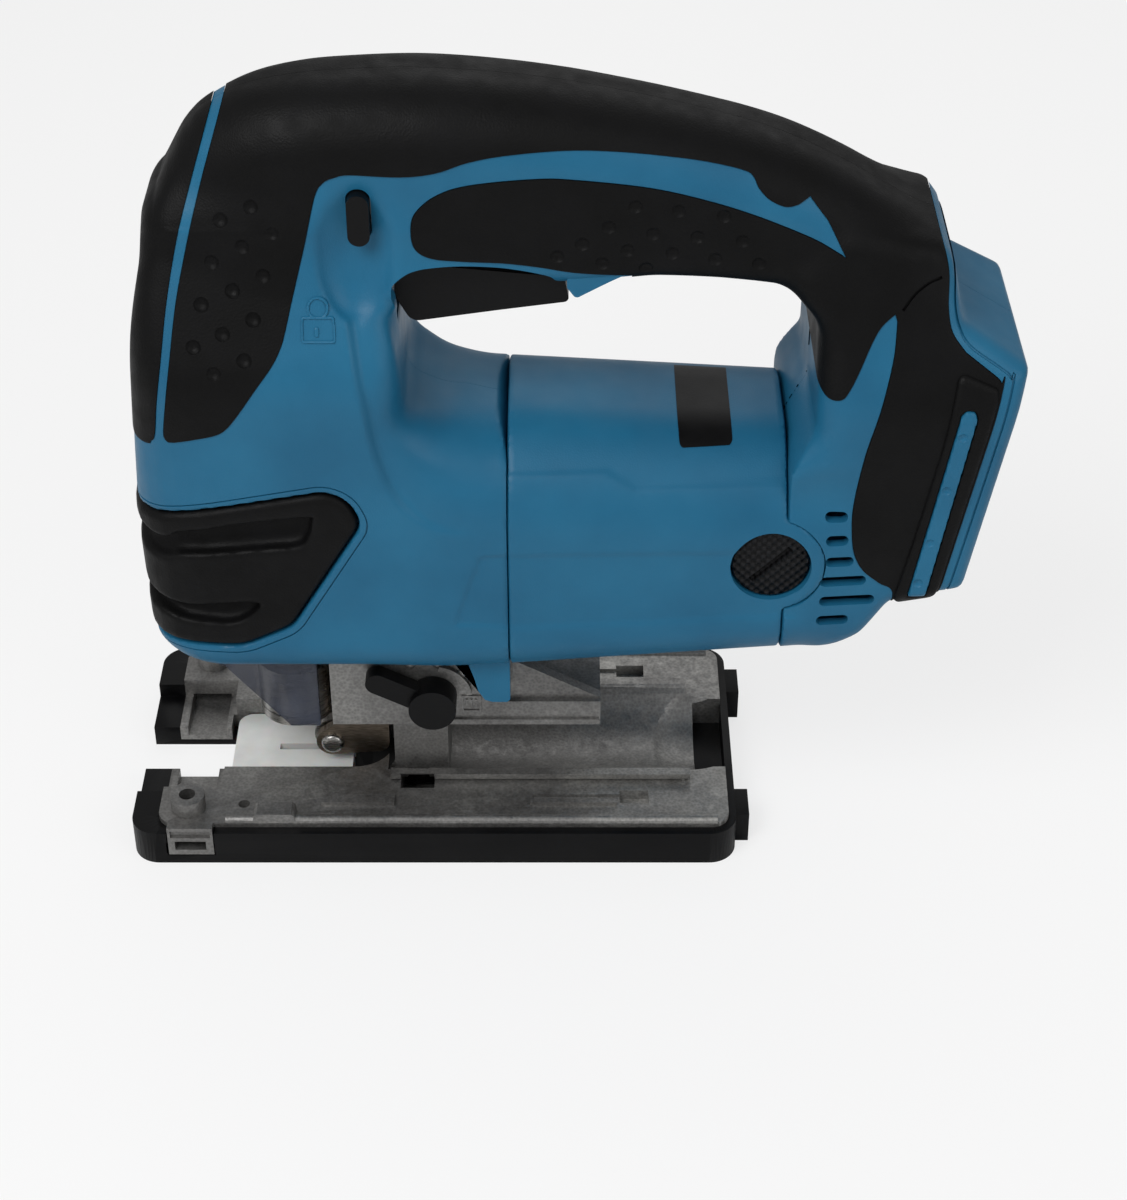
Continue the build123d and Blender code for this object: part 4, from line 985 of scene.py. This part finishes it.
def toolOpener():
    v = openerValues
    edge = v["edge"]
    xs, ys, zs = (axisSteps(*v[key], v["step"]) for key in ("gridX", "gridY", "gridZ"))
    x, y = xs[:, None, None], ys[None, :, None]
    body = bodyField(xs, ys, zs)
    area = sideField(cornerPath(openerOutline), xs, zs)
    field = softMax(softMax(body - v["proud"], area + v["gap"], v["rim"]), -(body + v["depth"]), edge)
    pivotX, pivotY = v["pivot"]
    field = softMax(field, np.minimum(x - pivotX, y), edge)
    knuckle = np.maximum(np.hypot(x - pivotX, y - pivotY) - v["knuckle"], area)
    field = np.minimum(field, softMax(knuckle, body - v["proud"], edge))
    for key in ("upper", "lower"):
        groove = np.maximum(sideField(smoothPath(v[key]), xs, zs), y - v["grooveEnd"])
        hollow = softMax(groove, -(body + v["grooveDepth"]), v["grooveFloor"])
        field = softMax(field, -hollow, v["grooveEdge"])
    piece = netMesh("toolOpener", field, xs, ys, zs, rubber)
    smooth(piece)
    return piece


seat(toolOpener(), "opener", "black_elastomer", "tool_opener")
print("tool opener made")


# Motor housing

def motorField(xs, ys, zs):
    v, b = motorValues, bodyValues
    x, y, z = xs[:, None, None], ys[None, :, None], zs[None, None, :]
    field = barrelField(x, y, z)
    front, rear = b["seamFront"], b["seamRear"]
    ends = np.abs(x - (front + rear) / 2) - (rear - front) / 2 + b["seamGap"]
    lobe = np.hypot(x - v["capX"], z - v["capZ"]) - v["lobe"]
    ends = np.minimum(ends, softMax(lobe, v["lobeDepth"] - np.abs(y), v["endEdge"]))
    field = field + v["facetDrop"] * step01(sideField(np.array(v["facet"]), xs, zs), v["facetWidth"])
    field = field + b["bandDrop"] * step01(sideField(np.array(b["band"]), xs, zs), b["bandWidth"])
    return softMax(field, ends, v["endEdge"])


def motorHousing():
    v = motorValues
    xs, ys, zs = (axisSteps(*v[key], v["step"]) for key in ("gridX", "gridY", "gridZ"))
    field = motorField(xs, ys, zs)
    shell = np.maximum(field, -(field + v["wall"]))
    boss = np.hypot(xs[:, None, None] - v["capX"], zs[None, None, :] - v["capZ"]) - v["lobe"]
    boss = np.maximum(np.maximum(boss, field), v["bossDepth"] - np.abs(ys[None, :, None]))
    piece = netMesh("motorShell", np.minimum(shell, boss), xs, ys, zs, teal)
    for side in (-1, 1):
        ends = sorted((side * v["capFloor"], side * v["capReach"]))
        cut(piece, cylinderTool(v["capRoom"], *ends, v["capX"], v["capZ"], sides=72))
    smooth(piece)
    layer = np.maximum(field - v["plateRise"], -(field + v["plateDepth"]))
    plate = netMesh("ratingPlate", layer, xs, ys, zs, moulding)
    cut(plate, prism("plateArea", cornerPath(v["label"]), *v["labelSpan"]), "INTERSECT")
    oneFinish(plate, moulding)
    smooth(plate)
    return piece, plate


motorShell, ratingPlate = motorHousing()
seat(motorShell, "housing", "teal_plastic", "motor_housing")
seat(ratingPlate, "housing", "black_plastic")
print("motor housing made")


# Base, from the solid's own shape with the cast details added

def solidCopy(node, name, material):
    form = bmesh.new()
    form.from_mesh(nodes[node].data)
    form.transform(nodes[node].matrix_world)
    bmesh.ops.remove_doubles(form, verts=form.verts, dist=2e-7)
    return formPiece(name, form, material)


def boxTool(low, high):
    path = [(low[0], low[2]), (high[0], low[2]), (high[0], high[2]), (low[0], high[2])]
    return prism("box", np.array(path), low[1], high[1])


def ellipsoidTool(centre, radii):
    form = bmesh.new()
    shape = Matrix.Translation(Vector(centre) * mm) @ Matrix.Diagonal((*(r * mm for r in radii), 1))
    bmesh.ops.create_icosphere(form, subdivisions=5, radius=1.0, matrix=shape)
    return formPiece("ellipsoid", form, teal)


baseValues = {
    "bead": {"y": 34.5, "z": 11.2, "radius": 1.5, "x": (-86.5, 39.5)},
    "lug": [(-79.6, 10), (-79.2, 13.6), (-78.4, 14.2), (-69.6, 14.2), (-68.8, 13.6), (-68.4, 10)],
    "lugSpan": (-35.9, -31),
    "bar": ((-62.5, -29.4, 10), (-43.6, -26, 12.6)), "rib": ((-8.6, -29.4, 10), (13.8, -28, 12.6)),
    "hole": (-82.4, -28.7, 1.5, (8.5, 20)), "scoop": ((33, 0, 22), (19, 18.5, 18.7)),
    "dots": [((31, -19.8, 11), (31.6, -18.2, 12.3)), ((32.4, -19.8, 11), (33, -18.2, 12.3))],
    "window": ((-101.6, -40, 2.6), (-89.4, -36.05, 12)),
    # shadePlates: black sheets under the base openings, painted shade where only the shade under the tool
    # shows
    "shadePlates": [((34.6, -14.5, 0.4), (44.2, 14.5, 3.0)), ((-57.6, -7, 0.4), (-49, 9, 1.6))],
    "plug": ((-101.3, -38.4, 2.8), (-89.7, -35.5, 11.6)), "plugSlot": ((-99.6, -39, 4.4), (-91.6, -33, 7.2)),
    "plugHollow": ((-100.6, -39, 8.4), (-90.4, -37.6, 10.6)),
}


def baseFinish():
    v = baseValues
    plate = solidCopy("base_plate", "basePlate", cast)
    bead = v["bead"]
    for side in (-1, 1):
        cut(plate, cylinderTool(bead["radius"], *bead["x"], side * bead["y"], bead["z"], "x", 24), "UNION")
    cut(plate, prism("lug", np.array(v["lug"]), *v["lugSpan"]), "UNION")
    for low, high in (v["bar"], v["rib"], *v["dots"]):
        cut(plate, boxTool(low, high), "UNION")
    cut(plate, boxTool(*v["plug"]), "UNION")
    for low, high in (v["plugSlot"], v["plugHollow"]):
        cut(plate, boxTool(low, high))
    x, y, radius, span = v["hole"]
    cut(plate, cylinderTool(radius, *span, x, y, "z", 24))
    cut(plate, ellipsoidTool(*v["scoop"]))
    oneFinish(plate, cast)
    softEdges(plate, 0.45, 2)
    seat(plate, "base", "die_cast", "base_plate")
    rim = solidCopy("base_cover", "baseCover", moulding)
    cut(rim, boxTool(*v["window"]))
    # painted shade: black plates close the openings under the base so they read dark
    for low, high in v["shadePlates"]:
        cut(rim, boxTool(low, high), "UNION")
    oneFinish(rim, moulding)
    softEdges(rim, 0.6, 2)
    seat(rim, "base", "black_plastic", "base_cover")


baseFinish()

markValues = {
    "face": -20.0, "domes": [(-38.6, 50.7), (-31.5, 50.7), (-25.3, 47.8)], "domeRadius": 1.5, "domeRise": 0.9,
    "arc": {"centre": (-33, 41), "radius": 9.2, "from": 5, "to": 80, "width": 1.4, "rise": 1.4},
    "sign": (-25.9, 35.4, -20.9, 40.6), "line": 0.5, "signRise": 0.4, "bars": (-24.6, -23.4, -22.2),
    "barEnd": 1.2,
    "bar": [(-38, 31.6), (9, 31.6), (9, 33.2), (-38, 33.2)], "barRise": 0.8, "root": 0.4,
}


def castMarks():
    v = markValues
    face = v["face"]
    left, low, right, high = v["sign"]
    line = v["line"]
    strokes = [
        (left, low, right, low + line), (left, high - line, right, high),
        (left, low + line, left + line, high - line), (right - line, low + line, right, high - line),
    ]
    for x in v["bars"]:
        strokes.append((x - line / 2, low + v["barEnd"], x + line / 2, high - v["barEnd"]))
    paths = []
    for a, b, c, d in strokes:
        paths.append(([(a, b), (c, b), (c, d), (a, d)], v["signRise"]))
    arc = v["arc"]
    turns = np.radians(np.linspace(arc["from"], arc["to"], 16))
    ring = np.stack((np.cos(turns), np.sin(turns)), 1) * arc["radius"] + arc["centre"]
    paths.append((bandPath(ring, arc["width"]), arc["rise"]))
    paths.append((v["bar"], v["barRise"]))
    marks = None
    for path, rise in paths:
        part = prism("castMarks", np.array(path), face - rise, face + v["root"], cast)
        marks = part if marks is None else cut(marks, part, "UNION")
    for x, z in v["domes"]:
        cut(marks, ellipsoidTool((x, face, z), (v["domeRadius"], v["domeRise"], v["domeRadius"])), "UNION")
    oneFinish(marks, cast)
    softEdges(marks, 0.2, 2)
    return marks


seat(castMarks(), "housing", "die_cast")
print("base and cast marks made")

guardValues = {
    "trim": ((-100, -20, 10), (-50, 20, 26.4)),
    "ribs": [((-72, -13.2, 27), (-70.8, -11.9, 58)), ((-67.6, -13.2, 27), (-66.4, -11.9, 58))],
}


def dustGuard():
    v = guardValues
    guard = solidCopy("dust_cover", "dustGuard", clear)
    cut(guard, boxTool(*v["trim"]))
    for low, high in v["ribs"]:
        cut(guard, boxTool(low, high), "UNION")
    oneFinish(guard, clear)
    softEdges(guard, 0.3, 2)
    seat(guard, "cover", "clear_plastic", "dust_cover")


dustGuard()


# Terminals in the rear slot, and the brush caps with their slots turned

terminalValues = {"shift": (-4.3, 0, 0), "clear": (-40, 0.3, 30), "edge": 0.25}


def terminals(node, name, material, slot):
    v = terminalValues
    piece = solidCopy(node, name, material)
    piece.data.transform(Matrix.Translation(Vector(v["shift"]) * mm))
    cut(piece, slantedSlot(*v["clear"]))
    oneFinish(piece, material)
    softEdges(piece, v["edge"], 2)
    seat(piece, "housing", slot, node)


def brushCaps():
    piece = solidCopy("brush_caps", "brushCaps", knurled)
    axis = Vector((motorValues["capX"], 0, motorValues["capZ"])) * mm
    turn = Matrix.Rotation(math.pi / 2, 4, "Y")
    piece.data.transform(Matrix.Translation(axis) @ turn @ Matrix.Translation(-axis))
    oneFinish(piece, knurled)
    seat(piece, "housing", "black_plastic", "brush_caps")


brushCaps()
terminals("terminal_block", "terminalBlock", moulding, "black_plastic")
terminals("terminal_blades", "terminalBlades", brass, "brass")
print("guard and terminals made")


# Finishes of the pieces that keep their solid's shape

finishes = {
    cast: ["gear_housing", "bevel_saddle"],
    moulding: ["trigger", "lock_button", "orbit_lever", "power_switch", "terminal_block",
               "cooling_fan", "carbon_brushes", "trigger_pin"],
    brightSteel: ["housing_screws", "motor_bearings", "armature_shaft", "motor_pinion", "crank_gear",
                  "crank_pin", "gear_axle", "lower_slider_guide", "upper_slider_guide", "slider_yoke",
                  "blade_holder", "clamp_sleeve", "fork_pivot_pin", "roller_pin", "guide_roller", "opener_pin",
                  "bevel_bolt"],
    warmSteel: ["roller_fork"],
    darkSteel: ["motor_stator", "field_magnets", "armature_core"],
    brass: ["brush_holders", "terminal_blades"],
    wire: ["armature_windings", "commutator"],
    clear: ["dust_cover"],
    milky: ["anti_splinter_insert"],
    knurled: ["brush_caps"],
}
for material, names in finishes.items():
    for name in names:
        nodes[name].data.materials.clear()
        nodes[name].data.materials.append(material)
print("solids finished")


# Floor, light and camera

studio = {
    "worldStrength": 0.38, "glow": 0.72,
    "target": (0, 0, 0.05574), "camera": (0, -0.51327, 0.44364), "lens": 75.234,
    "lamps": [
        ((-0.4, -0.5, 0.8), 0.5, 5.5), ((0.6, -0.5, 0.5), 0.6, 1.6), ((0.1, 0.55, 0.6), 0.6, 0.8),
    ],
}


def stageSet():
    v = studio
    scene = bpy.context.scene
    form = bmesh.new()
    bmesh.ops.create_grid(form, x_segments=2, y_segments=2, size=3.0)
    paper = Finish("paleFloor")
    shade = paper.noise(3)
    paper.set(Base_Color=paper.ramp(shade, (0, (0.82,) * 3), (1, (0.84,) * 3)), Roughness=0.7)
    glow = paper.add("ShaderNodeEmission", {}, {"Color": (1, 1, 1, 1), "Strength": 1.0})
    seen = paper.add("ShaderNodeLightPath") * v["glow"]
    paint = Signal(paper, paper.shader.outputs[0])
    paperMix = paper.add("ShaderNodeMixShader", {}, {0: seen, 1: paint, 2: glow})
    paper.feed(paper.tree.nodes["Material Output"].inputs["Surface"], paperMix)
    floor = formPiece("floor", form, paper.material)
    world = bpy.data.worlds.new("studio")
    world.use_nodes = True
    scene.world = world
    tree = world.node_tree
    back = tree.nodes["Background"]
    back.inputs["Color"].default_value = (1, 1, 1, 1)
    back.inputs["Strength"].default_value = v["worldStrength"]
    white = tree.nodes.new("ShaderNodeBackground")
    white.inputs["Color"].default_value = (1, 1, 1, 1)
    mixed = tree.nodes.new("ShaderNodeMixShader")
    tree.links.new(tree.nodes.new("ShaderNodeLightPath").outputs["Is Camera Ray"], mixed.inputs[0])
    tree.links.new(back.outputs[0], mixed.inputs[1])
    tree.links.new(white.outputs[0], mixed.inputs[2])
    tree.links.new(mixed.outputs[0], tree.nodes["World Output"].inputs[0])
    for place, size, power in v["lamps"]:
        lamp = bpy.data.objects.new("lamp", bpy.data.lights.new("lamp", "AREA"))
        lamp.data.size = size
        lamp.data.energy = power
        lamp.location = place
        aim = Vector(v["target"]) - Vector(place)
        lamp.rotation_euler = aim.to_track_quat("-Z", "Y").to_euler()
        scene.collection.objects.link(lamp)
    camera = bpy.data.objects.new("camera", bpy.data.cameras.new("camera"))
    camera.data.lens = v["lens"]
    camera.data.sensor_width = 36
    camera.data.sensor_fit = "AUTO"
    camera.location = v["camera"]
    aim = Vector(v["target"]) - Vector(v["camera"])
    camera.rotation_euler = aim.to_track_quat("-Z", "Y").to_euler()
    scene.collection.objects.link(camera)
    scene.camera = camera
    scene.view_settings.view_transform = "Standard"


stageSet()
print("stage set")
